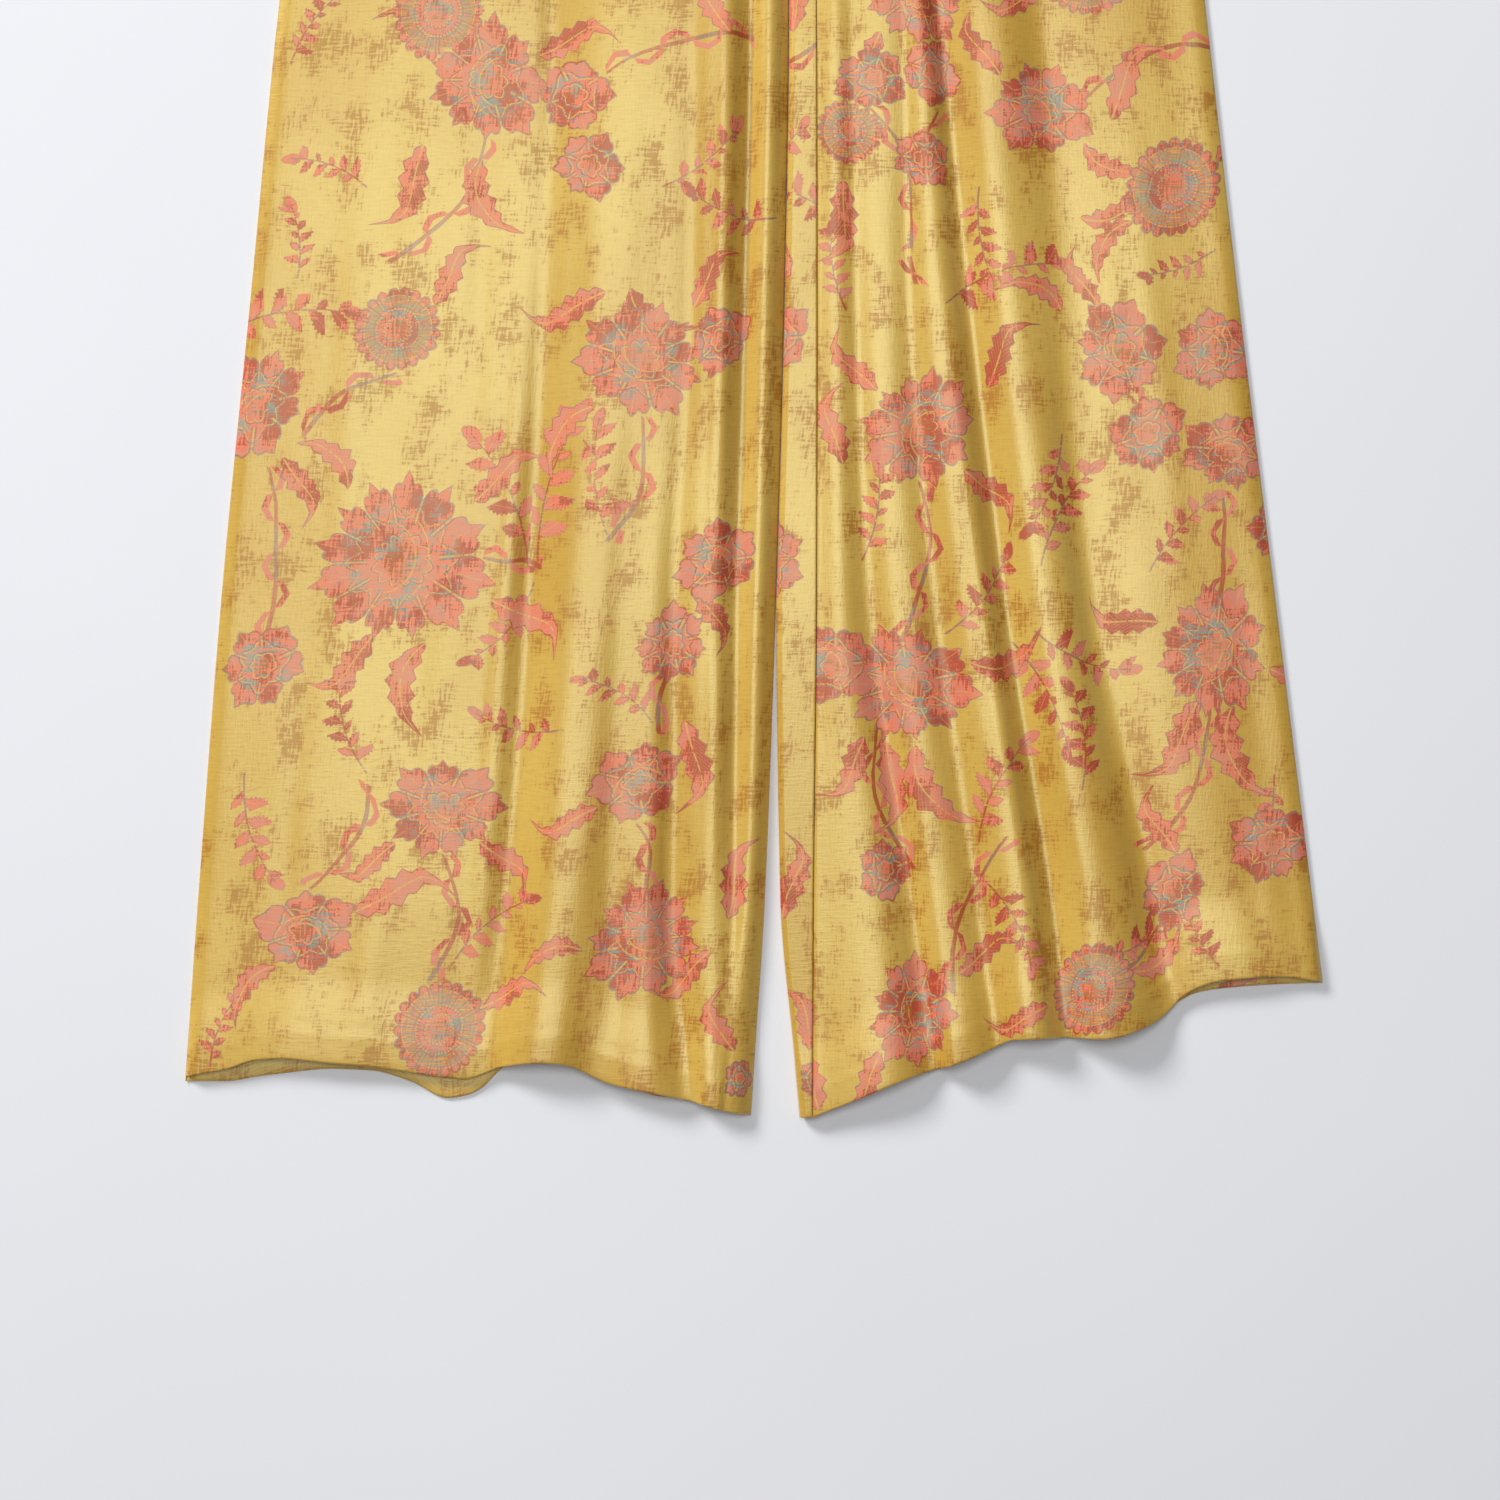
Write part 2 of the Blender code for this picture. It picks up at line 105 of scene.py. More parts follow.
# The stage in metres. A lamp has its place and its size.
FLOOR_HALF = 6.0
LAMPS_AIM = Vector((0.0, -0.3, 0.0))
SIDE_LAMP = ((-4.5, 4.1, 3.4), (2.5, 1.8))
OVERHEAD_LAMP = ((-0.2, 0.2, 3.5), (1.6, 1.6))
CAMERA_PLACE = (-0.0024, -0.3032, 3.0)
SENSOR_WIDTH = 36.0

Line = namedtuple("Line", "name kind across lift")
Hem = namedtuple("Hem", "across front back")
Crease = namedtuple("Crease", "across down lean reach width lift")
Motif = namedtuple("Motif", "across down size turn form")


def rows_of(kind, rows):
    """A table: rows of numbers under the named columns of their kind."""
    return tuple(kind(*row) for row in rows)


ACROSS_AT = (39, 162, 286, 358, 552, 748, 942, 1040)
LIFT_AT = (39, 286, 400, 650, 850, 1040)

RIGHT_LINES = (
    Line("side", "edge", (-204, -268, -298, -308, -327, -346, -361, -368), (0, 0, 0, 0, 0, 0)),
    Line("shoulder", "ridge", (-195, -259, -289, -299, -318, -337, -352, -359), (2, 2, 2, 2, 2, 2)),
    Line("outer", "ridge", (-171, -204, -217, -220, -233, -246, -272, -304), (2.5, 3, 3, 3, 3.5, 6)),
    Line("groove", "valley", (-136, -132, -131, -129, -138, -147, -159, -172), (2, 2, 2, 1.5, 1.2, 1)),
    Line("main", "ridge", (-106, -93, -87, -80, -87, -106, -124, -136), (3, 5.5, 7.5, 9, 11.5, 15)),
    Line("short", "valley", (-90, -79, -72, -66, -71, -85, -93, -102), (3, 5.5, 7.2, 8, 8, 5)),
    Line("knee", "ridge", (-77, -69, -61, -54, -58, -67, -72, -70), (3, 5.5, 7, 7.5, 8, 10)),
    Line("calf", "valley", (-64, -56, -47, -39, -41, -52, -54, -44), (3, 5, 6.5, 6, 3.5, 2)),
    Line("thigh", "ridge", (-51, -40, -28, -21, -25, -30, -27, -28), (3, 6, 9, 8.5, 8, 9)),
    Line("deep", "valley", (-35, -21, -6, -1, -5, -10, -12, -20), (2.5, 1.5, 0.6, 0.8, 2.5, 8)),
    Line("inner", "ridge", (-15, -2, 7, 10, 7, 2, -4, -14), (3, 6, 8.5, 8, 7.5, 6.5)),
    Line("inseam", "edge", (4, 14, 21.6, 22.9, 20, 14.5, 7.3, 1), (3, 1.8, 0.4, 0, 0, 0)),
)
LEFT_LINES = (
    Line("inseam", "ridge", (4, 14, 25, 41, 41.4, 41, 39, 38.5), (3, 1.8, 6, 6, 6, 4.5)),
    Line("beside", "ridge", (16, 27, 40, 51, 52, 55, 74, 82), (3, 5, 7.5, 7.5, 7.8, 11)),
    Line("soft", "valley", (29, 42, 55, 63, 66, 75, 102, 117), (3, 4.5, 5.6, 3.6, 1.5, 0.8)),
    Line("inner", "ridge", (40, 57, 73, 82, 83, 97, 120, 130), (3, 5, 7, 6.5, 7.5, 12)),
    Line("faint", "valley", (52, 70, 89, 97, 101, 118, 146, 160), (3, 5, 6, 3.8, 3.5, 5.5)),
    Line("crest", "ridge", (64, 82, 100, 107, 119, 142, 173, 182), (3, 6, 8.5, 9, 11, 15)),
    Line("deep", "valley", (77, 95, 111, 119, 139, 163, 193, 204), (2.5, 1.5, 0.8, 0.8, 0.8, 1.5)),
    Line("main", "ridge", (100, 122, 141, 150, 167, 191, 219, 228), (3, 7, 9.5, 10.5, 12.5, 16)),
    Line("outer", "valley", (124, 150, 173, 185, 198, 219, 258, 277), (2.5, 2.5, 2, 1.2, 1, 1)),
    Line("side flat", "ridge", (157, 199, 222, 232, 250, 269, 306, 324), (2.5, 3, 3.5, 3.5, 5, 6)),
    Line("shoulder", "ridge", (184, 249, 276, 284, 306, 330, 354, 366), (2, 2, 2, 2, 2, 2)),
    Line("side", "edge", (193, 258, 285, 293, 315, 339, 363, 375), (0, 0, 0, 0, 0, 0)),
)
LEFT_INNER = (4, 14, 21.6, 22.9, 20, 14.5, 17.1, 25.8)

RIGHT_HEM = rows_of(Hem, (
    (-369, 1057, 1060), (-342, 1052, 1060), (-323, 1046, 1057), (-307, 1045, 1055),
    (-275, 1048, 1052), (-249, 1050, 1053), (-223, 1054, 1060), (-199, 1057.5, 1071),
    (-186, 1058.5, 1069), (-176, 1055.5, 1064), (-164, 1050.5, 1052), (-139, 1047.5, 1044),
    (-124, 1048.5, 1045), (-94, 1061, 1057), (-62, 1068, 1070), (-40, 1073, 1072),
    (-15, 1080, 1076), (2, 1082.5, 1080),
))
LEFT_HEM = rows_of(Hem, (
    (38, 1083.5, 1083), (51, 1078, 1076), (73, 1069, 1066), (89, 1062, 1059), (107, 1055.5, 1052),
    (129, 1049, 1045), (156, 1038, 1034), (169, 1032.5, 1028), (207, 1031.5, 1026),
    (226, 1032, 1025), (254, 1024.5, 1018), (268, 1016, 1012), (276, 1007, 1008.5),
    (286, 1000, 1003), (302, 995, 1000), (340, 992, 997), (369.5, 995.5, 996),
))

# Soft creases between the folds. Lean is how far a crease moves across for each mm down, reach
# half its length, width half its width, and lift its height, below 0 for a trough.
RIGHT_CREASES = rows_of(Crease, (
    (-143, 640, -0.06, 330, 13, -1.3), (-163, 930, -0.12, 150, 11, -1.0),
    (-162, 790, -0.08, 350, 14, 2.9), (-182, 790, -0.08, 340, 27, 1.6),
    (-100, 1015, -0.06, 95, 15, 3.2), (-131, 330, 0.0, 170, 10, -1.3),
    (-19, 560, -0.02, 330, 9, 2.6), (-5, 480, -0.02, 330, 7, -1.0), (-25, 860, -0.05, 130, 8, 1.6),
    (-54, 1000, 0.03, 110, 9, -1.4), (-64, 900, -0.04, 130, 8, 1.4),
    (-262, 640, -0.05, 260, 16, 0.7), (-300, 880, -0.09, 120, 11, -0.6),
    (-205, 800, -0.08, 170, 13, 0.8), (-178, 560, -0.04, 190, 12, -0.7),
    (-215, 470, -0.03, 90, 20, 0.6), (-250, 985, -0.1, 60, 15, 0.9),
    (-115, 560, -0.02, 120, 8, -0.7), (-92, 990, -0.06, 60, 8, -1.1),
    (-14, 640, -0.03, 130, 5, 0.5), (-243, 250, 0.1, 110, 18, 0.9), (-120, 180, 0.08, 90, 10, -0.7),
    (-60, 215, 0.05, 120, 9, 0.6),
))
LEFT_CREASES = rows_of(Crease, (
    (163, 748, 0.12, 330, 8, -0.9), (150, 748, 0.13, 300, 9, 1.5), (111, 330, 0.1, 200, 8, -0.8),
    (196, 560, 0.1, 200, 16, 1.2), (257, 940, 0.2, 120, 13, -1.0), (102, 942, 0.15, 150, 9, -1.0),
    (91, 930, 0.13, 140, 9, 1.3), (146, 960, 0.13, 120, 9, -1.2), (262, 600, 0.11, 200, 15, 0.7),
    (318, 780, 0.13, 120, 12, -0.6), (282, 470, 0.1, 100, 16, -0.5), (240, 880, 0.18, 110, 11, 0.9),
    (335, 930, 0.12, 60, 13, 0.8), (208, 930, 0.2, 70, 8, -0.9), (66, 700, 0.04, 150, 7, -0.5),
    (148, 960, 0.2, 70, 8, 0.7), (176, 520, 0.1, 130, 9, -0.6), (225, 240, 0.1, 110, 17, 0.9),
    (90, 170, 0.08, 90, 9, -0.6), (150, 250, 0.06, 100, 10, 0.6),
))

# The print on each front. Size is a flower's radius or the length of the rest, turn its heading
# in degrees from across, and form its petals or, on the rest, how far it bends.
RIGHT_FLOWERS = rows_of(Motif, (
    (-227, 722, 52, 20, 12), (-172, 410, 36, 200, 9), (-116, 420, 22, 80, 5),
    (-106, 466, 20, 300, 6), (-230, 572, 24, 30, 20), (-322, 621, 30, 160, 8),
    (-74, 592, 36, 260, 10), (-22, 579, 20, 40, 5), (-24, 722, 26, 90, 6), (-54, 776, 21, 0, 8),
    (-76, 866, 26, 140, 6), (-318, 790, 24, 60, 6), (-201, 882, 33, 250, 9),
    (-289, 962, 28, 100, 6), (-204, 1026, 28, 20, 22), (-71, 969, 35, 280, 11),
    (-12, 1058, 10, 0, 5),
))
RIGHT_LEAVES = rows_of(Motif, (
    (-214, 452, 34, 250, 0.5), (-176, 462, 32, 290, -0.5), (-206, 556, 28, 60, 0.4),
    (-96, 548, 32, 200, 0.4), (-80, 546, 30, 320, -0.4), (-46, 826, 34, 280, 0.5),
    (-258, 950, 36, 20, 0.4), (-18, 955, 32, 80, 0.3), (-30, 975, 28, 220, 0.4),
    (-16, 1040, 26, 110, 0.8), (-213, 776, 34, 260, -0.5), (-246, 770, 30, 225, 0.5),
    (-110, 975, 24, 190, -0.4), (-232, 905, 24, 215, 0.4), (-181, 684, 30, 40, 0.4),
    (-262, 676, 28, 130, -0.4), (-170, 748, 34, 330, 0.4), (-140, 395, 30, 20, 0.4),
    (-200, 385, 28, 150, -0.5), (-305, 655, 28, 300, 0.4), (-40, 558, 26, 60, 0.4),
    (-102, 622, 30, 230, -0.4), (-38, 742, 26, 300, 0.4), (-100, 882, 26, 200, 0.4),
    (-178, 905, 28, 320, 0.4), (-310, 985, 26, 230, -0.4), (-176, 1012, 26, 20, 0.4),
    (-338, 598, 24, 110, 0.4),
))
RIGHT_SPRIGS = rows_of(Motif, (
    (-346, 575, 72, 8, 0.25), (-146, 726, 78, 118, -0.2), (-140, 722, 80, 78, 0.2),
    (-142, 736, 52, 232, 0.3), (-94, 706, 62, 100, 0.2), (-66, 828, 46, 150, -0.3),
    (-196, 985, 54, 40, 0.3), (-352, 1052, 40, 75, 0.2), (14, 500, 56, 165, 0.3),
    (-300, 400, 42, 60, 0.2), (-296, 540, 40, 100, -0.2), (-330, 860, 60, 290, -0.25),
    (-250, 860, 52, 110, 0.25), (-60, 480, 50, 40, -0.2), (-330, 480, 46, 250, 0.25),
    (-122, 832, 50, 170, 0.25), (-250, 480, 44, 160, -0.25), (-112, 642, 46, 300, 0.2),
))
RIGHT_STEMS = rows_of(Motif, (
    (-172, 446, 84, 235, 0.3), (-230, 600, 60, 215, -0.25), (-176, 722, 34, 355, 0.1),
    (-201, 912, 70, 268, 0.35), (-289, 935, 64, 62, -0.3), (-96, 408, 84, 14, 0.25),
    (-74, 628, 70, 262, 0.3), (-24, 750, 76, 250, -0.3), (-76, 892, 48, 275, 0.3),
    (-316, 660, 106, 272, 0.2),
))
LEFT_FLOWERS = rows_of(Motif, (
    (76, 410, 20, 30, 6), (116, 406, 19, 200, 5), (62, 444, 18, 100, 20), (110, 462, 17, 320, 6),
    (186, 430, 30, 60, 8), (272, 480, 29, 140, 22), (238, 585, 29, 220, 7), (300, 585, 25, 30, 6),
    (256, 640, 22, 280, 6), (309, 650, 26, 100, 8), (108, 637, 35, 180, 10), (52, 790, 26, 40, 5),
    (100, 802, 38, 250, 10), (300, 780, 36, 20, 10), (274, 936, 21, 80, 6),
    (218, 1000, 27, 300, 22), (85, 923, 17, 160, 6), (105, 1014, 31, 200, 9), (345, 700, 20, 0, 6),
    (338, 905, 24, 250, 7),
))
LEFT_LEAVES = rows_of(Motif, (
    (58, 476, 32, 260, 0.5), (232, 436, 34, 60, 0.5), (212, 500, 30, 20, -0.4),
    (58, 660, 30, 100, 0.4), (86, 840, 34, 272, 0.4), (104, 842, 38, 300, -0.4),
    (290, 812, 36, 240, 0.4), (312, 816, 38, 285, -0.4), (276, 912, 28, 120, 0.4),
    (42, 1078, 34, 100, 0.4), (152, 610, 30, 60, 0.4), (200, 560, 26, 150, -0.4),
    (82, 1040, 28, 240, 0.4), (340, 620, 26, 60, -0.4), (160, 408, 28, 120, 0.4),
    (214, 452, 26, 330, -0.4), (300, 462, 26, 40, 0.4), (246, 502, 26, 230, -0.4),
    (224, 556, 24, 120, 0.4), (322, 566, 24, 40, -0.4), (80, 612, 28, 130, 0.4),
    (136, 664, 30, 320, 0.4), (140, 788, 32, 10, -0.4), (72, 836, 28, 240, 0.4),
    (264, 762, 28, 170, 0.4), (336, 792, 24, 330, 0.4), (246, 988, 26, 30, -0.4),
    (190, 1010, 26, 200, 0.4), (132, 990, 28, 30, 0.4),
))
LEFT_SPRIGS = rows_of(Motif, (
    (124, 556, 68, 18, 0.25), (186, 726, 60, 60, 0.25), (124, 770, 56, 50, -0.2),
    (258, 730, 52, 50, 0.2), (168, 775, 66, 300, 0.2), (182, 768, 58, 340, -0.25),
    (146, 905, 62, 62, 0.3), (206, 980, 60, 20, -0.3), (150, 930, 54, 300, 0.25),
    (330, 560, 48, 80, 0.2), (146, 480, 52, 280, -0.2), (304, 985, 44, 120, 0.2),
    (200, 640, 54, 250, 0.2), (212, 872, 56, 100, -0.25), (340, 860, 48, 260, 0.2),
    (60, 560, 44, 100, 0.2), (300, 520, 40, 200, 0.2), (70, 722, 50, 80, -0.2),
    (320, 440, 44, 70, 0.2),
))
LEFT_STEMS = rows_of(Motif, (
    (76, 428, 80, 285, 0.3), (120, 430, 96, 262, -0.3), (214, 426, 86, 20, 0.35),
    (242, 612, 40, 300, 0.2), (108, 670, 90, 262, 0.25), (80, 826, 84, 286, -0.3),
    (296, 812, 88, 250, 0.3), (268, 955, 60, 214, 0.3), (166, 900, 92, 250, -0.25),
    (302, 676, 72, 268, 0.2),
))
LAYERS = ("stem", "sprig", "leaf", "flower")
GROWN = {"stem": 1.2, "sprig": 1.25, "leaf": 1.75, "flower": 1.15}
RIGHT_PRINT = dict(zip(LAYERS, (RIGHT_STEMS, RIGHT_SPRIGS, RIGHT_LEAVES, RIGHT_FLOWERS)))
LEFT_PRINT = dict(zip(LAYERS, (LEFT_STEMS, LEFT_SPRIGS, LEFT_LEAVES, LEFT_FLOWERS)))
LEGS = (
    ("right", RIGHT_LINES, RIGHT_HEM, RIGHT_CREASES, RIGHT_PRINT),
    ("left", LEFT_LINES, LEFT_HEM, LEFT_CREASES, LEFT_PRINT),
)


def smooth(stations, values, at):
    """Value at a distance on a smooth curve through a table, which never overshoots its values."""
    stations = np.asarray(stations, float)
    values = np.asarray(values, float)
    at = np.asarray(at, float)
    steps = np.diff(stations)
    secants = np.diff(values) / steps
    slopes = np.concatenate((secants[:1], np.zeros(len(values) - 2), secants[-1:]))
    same_way = secants[:-1] * secants[1:] > 0
    total = np.where(same_way, secants[:-1] + secants[1:], 1.0)
    slopes[1:-1] = np.where(same_way, 2 * secants[:-1] * secants[1:] / total, 0.0)
    i = np.clip(np.searchsorted(stations, at, side="right") - 1, 0, len(steps) - 1)
    share = (at - stations[i]) / steps[i]
    t = np.clip(share, 0, 1)
    eased = t * t * (3 - 2 * t)
    inside = values[i] * (1 - eased) + values[i + 1] * eased
    bend = t * (1 - t) * ((1 - t) * slopes[i] - t * slopes[i + 1])
    beyond = (share - t) * np.where(share < 0, slopes[0], slopes[-1])
    return inside + (bend + beyond) * steps[i]


def ease(t):
    """Smooth step from 0 to 1."""
    t = np.clip(t, 0, 1)
    return t * t * (3 - 2 * t)


def hem_down(hem, side, across):
    """How far down the hem reaches at a place across. Side is front or back."""
    across = np.clip(across, hem[0].across, hem[-1].across)
    return smooth([h.across for h in hem], [getattr(h, side) for h in hem], across)


def side_seam(lines, down):
    """Across of a leg's side seam."""
    return smooth(ACROSS_AT, next(x for x in lines if x.name == "side").across, down)


def centre_seam(down):
    """Across of the seam that joins the legs, and below the crotch the right leg's inner edge."""
    return smooth(ACROSS_AT, RIGHT_LINES[-1].across, down)


def waist_seam(across):
    """How far down the front waist seam lies."""
    right, left = side_seam(RIGHT_LINES, ACROSS_AT[0]), side_seam(LEFT_LINES, ACROSS_AT[0])
    middle, half = (left + right) / 2, (left - right) / 2
    return BAND_DEPTH + FRONT_DIP * (1 - ((across - middle) / half) ** 2)


def stack_at(above_hem):
    """How far the turned-up hems raise the front panel."""
    return HEM_STACK * ease((HEM_DEPTH + 1 + STACK_FADE - above_hem) / STACK_FADE)


def left_inner(down):
    """Across of the left leg's inner edge, which meets the right leg's above the gap."""
    return np.maximum(smooth(ACROSS_AT, LEFT_INNER, down), centre_seam(down)) + GAP / 2


def roll_radius(down):
    """Outer radius of the rolled inner edge of the left leg, which is as high as the inseam on it."""
    rise = stack_at(LEFT_HEM[0].front - np.asarray(down, float))
    return (EDGE + smooth(LIFT_AT, LEFT_LINES[0].lift, down) + rise) / 2


def left_inseam(down):
    """Across of the left leg's front panel edge: the centre seam, and below the crotch the inseam."""
    down = np.asarray(down, float)
    rolled = left_inner(down) + roll_radius(down) + GAP
    rolled = np.maximum(smooth(ACROSS_AT, LEFT_LINES[0].across, down), rolled)
    return np.where(down < CROTCH, centre_seam(down) + GAP / 2, rolled)


def front_column(lines, u, down):
    """Across and lift of a front panel at u lines from the first one."""
    first = int(min(u, len(lines) - 2))
    pair, share = lines[first : first + 2], u - first
    near, far = (smooth(ACROSS_AT, line.across, down) for line in pair)
    if first == 0 and lines is LEFT_LINES:
        near = left_inseam(down)
    if first + 2 == len(lines) and lines is RIGHT_LINES:
        far = far - GAP / 2
    if pair[1].kind != "ridge":
        risen = ease(share**TIGHT)
    elif pair[0].kind != "ridge":
        risen = 1 - ease((1 - share) ** TIGHT)
    else:
        risen = ease(share)
    low, high = (smooth(LIFT_AT, line.lift, down) for line in pair)
    return near + (far - near) * share, low + (high - low) * risen


def hem_of_column(lines, hem, side, u):
    """How far down the hem lies on a column, found from where that column reaches it."""
    down = float(ACROSS_AT[-1])
    for _ in range(4):
        down = float(hem_down(hem, side, front_column(lines, u, down)[0]))
    return down


def rolled_in(distance):
    """How far cloth drops at a distance from an edge that is rolled under."""
    t = 1 - np.clip(np.abs(distance) / ROLLED, 0, 1)
    return ROLLED * (1 - np.sqrt(1 - t * t))


def spaced(length, cell, fine=(0.25, 0.7, 1.4)):
    """Places from 0 to a length, about a cell apart and closer at both ends, as shares."""
    count = max(2, round(length / cell))
    inner = np.linspace(0, length, count + 1)[1:-1]
    near = [x for x in fine if x < inner[0] - 0.5]
    return np.array([0, *near, *inner, *(length - x for x in reversed(near)), length]) / length


def column_places(lines, cell):
    """A front panel's columns, in lines from the first: about a cell apart, closer at its edges."""
    middle = ACROSS_AT[5]
    places = []
    for first in range(len(lines) - 1):
        ends = [float(front_column(lines, first + k, middle)[0]) for k in (0, 0.999)]
        count = max(3, round((ends[1] - ends[0]) / cell))
        places += [first + k / count for k in range(count)]
    last = len(lines) - 1
    edge = (0.03, 0.08, 0.16)
    places = [0.0, *edge, *places[1:], *(last - x for x in reversed(edge)), float(last)]
    return np.array(places)


def rows_above_hem(height, count):
    """Heights of a panel's rows above its hem: close at both ends and at the turned-up edge."""
    low = (0, 0.25, 0.7, 1.4, 5, 10, 15, HEM_DEPTH - 1, HEM_DEPTH + 1, HEM_DEPTH + 6)
    middle = np.linspace(low[-1], height - 1.4, count)[1:]
    return np.concatenate((low, middle, height - np.array((0.7, 0.25, 0))))


def wander(across, down):
    """The small unevenness of cloth that lies without being smoothed flat."""
    slow = np.sin(across / 31 + 1.3 * np.sin(down / 83))
    slow = slow * np.sin(down / 59 + 1.1 * np.sin(across / 47))
    quick = np.sin(across / 13 + 2 + 1.7 * np.sin(down / 41))
    quick = quick * np.sin(down / 29 + 1.4 * np.sin(across / 19))
    return WEAVE_WANDER * (slow + 0.4 * quick)


def bump(t):
    """A soft hump, 1 at 0 and 0 from 1 on."""
    return np.clip(1 - t * t, 0, 1) ** 2


def front_form(lines, hem, places, rises):
    """Across, down and height of a front panel as its folds shape it, by columns and rows."""
    last = len(lines) - 1
    across, down, height = [], [], []
    for u, rise in zip(places, rises):
        lowest = hem_of_column(lines, hem, "front", u)
        x, lift = front_column(lines, u, lowest - rise)
        near = u if lines[0].kind == "edge" else 1
        far = last - u if lines[-1].kind == "edge" else 1
        raised = stack_at(rise) * min(3 * near, 3 * far, 1)
        across.append(x)
        down.append(lowest - rise)
        height.append(EDGE + lift + raised)
    return np.array(across), np.array(down), np.array(height)


def front_surface(lines, hem, creases, cell):
    """Across, down and height of a front panel's outer face, with its creases and rolled edges."""
    places = column_places(lines, cell)
    rises = []
    for u in places:
        top = float(waist_seam(front_column(lines, u, ACROSS_AT[0])[0])) + GAP
        panel = hem_of_column(lines, hem, "front", u) - top
        rises.append(rows_above_hem(panel, round(LENGTH / cell)))
    across, down, height = front_form(lines, hem, places, rises)
    rise = np.array(rises)
    height += IMPRINT * ease((HEM_DEPTH + 0.8 - rise) / 1.6)
    inside = ease(np.minimum(across - across[:1], across[-1:] - across) / 14)
    for crease in creases:
        off = (across - crease.across - crease.lean * (down - crease.down)) / crease.width
        height += crease.lift * bump(off) * bump((down - crease.down) / crease.reach) * inside
    height += (wander(across, down) + WEAVE_WANDER) * inside
    height -= rolled_in(rise) + rolled_in(rise[:, -1:] - rise)
    inseam = FLAT_SEAM if lines[0].kind == "ridge" else 1.0
    height -= inseam * rolled_in(across - across[:1]) + rolled_in(across[-1:] - across)
    return across, down, height


def front_turn_up(lines, hem, cell):
    """Across, down and height of the turned-up hem of a front panel, whose print faces down."""
    first = HEM_SIDE if lines[0].kind == "edge" else HEM_INSEAM
    last = len(lines) - 1 - HEM_SIDE
    inner = [u for u in column_places(lines, cell) if first < u < last]
    places = np.array([first, *inner, last])[::-1]
    rise = np.array(TURN_UP_RISES)
    across, down, height = front_form(lines, hem, places, [rise] * len(places))
    return across, down, height - TURNED_UNDER + rolled_in(rise) + 0.3 * rolled_in(HEM_DEPTH - rise)


def back_hem(hem, path):
    """How far down a back hem lies on a column, whose path gives across at a distance down."""
    down = float(ACROSS_AT[-1])
    for _ in range(4):
        down = float(hem_down(hem, "back", float(path(down))))
    return down


def right_back_path(share):
    """Across of the right back panel at a share of its width, from the inner edge to the side."""

    def path(down):
        inner = centre_seam(down) - GAP / 2
        return inner + (side_seam(RIGHT_LINES, down) - inner) * share

    return path


def right_back_surface(cell):
    """Across, down and height of the right back panel's outer face, which lies on the surface."""
    across, down, height = [], [], []
    for share in spaced(BACK_WIDTH, cell):
        path = right_back_path(share)
        lowest = back_hem(RIGHT_HEM, path)
        rise = rows_above_hem(lowest - BAND_DEPTH - GAP, round(LENGTH / cell))
        across.append(path(lowest - rise))
        down.append(lowest - rise)
        height.append(rolled_in(rise) + rolled_in(rise[-1] - rise))
    across, down, height = np.array(across), np.array(down), np.array(height)
    return across, down, height + rolled_in(across[:1] - across) + rolled_in(across - across[-1:])


def right_back_turn_up(cell):
    """Across, down and height of the turned-up hem on the right back panel."""
    rise = np.array(TURN_UP_RISES)
    across, down = [], []
    inset = HEM_INSET / BACK_HEM_WIDTH
    for share in np.linspace(1 - inset, inset, round(BACK_HEM_WIDTH / cell)):
        path = right_back_path(share)
        lowest = back_hem(RIGHT_HEM, path)
        across.append(path(lowest - rise))
        down.append(lowest - rise)
    height = TURNED_ON - rolled_in(rise) - 0.3 * rolled_in(HEM_DEPTH - rise)
    return np.array(across), np.array(down), np.tile(height, (len(across), 1))


def left_back_section(column, down, inset=0.0):
    """Across and height of the left back panel at a column and an inset from its outer face. A
    column is a share of the flat part up to 1, of the rolled edge up to 2, and then of the strip
    that ends at the inseam on top."""
    side = side_seam(LEFT_LINES, down)
    radius = roll_radius(down)
    middle = left_inner(down) + radius
    upper = down < CROTCH
    if column <= 1:
        flat_end = np.where(upper, centre_seam(down) + GAP / 2, middle)
        return side + (flat_end - side) * column, inset + 0 * side
    if column <= 2:
        angle = math.pi * (column - 1)
        small = radius - inset
        return middle - small * math.sin(angle), radius - small * math.cos(angle)
    end = left_inseam(down) - GAP
    return middle + (end - middle) * (column - 2), 2 * radius - inset


def left_back_columns(cell):
    """The left back panel's columns: close at the side seam, round the rolled edge and the inseam."""
    flat = spaced(FLAT_BACK_WIDTH, cell)
    roll = np.linspace(1, 2, 11)[1:]
    strip = 3 - spaced(STRIP_WIDTH, cell)[:-1][::-1]
    return [*flat[:-3], 1.0, *roll, *strip]


def left_back_lowest(column):
    """How far down the left back hem lies on a column."""
    if column > 1:
        return hem_of_column(LEFT_LINES, LEFT_HEM, "front", 0)
    return back_hem(LEFT_HEM, lambda down: left_back_section(column, down)[0])


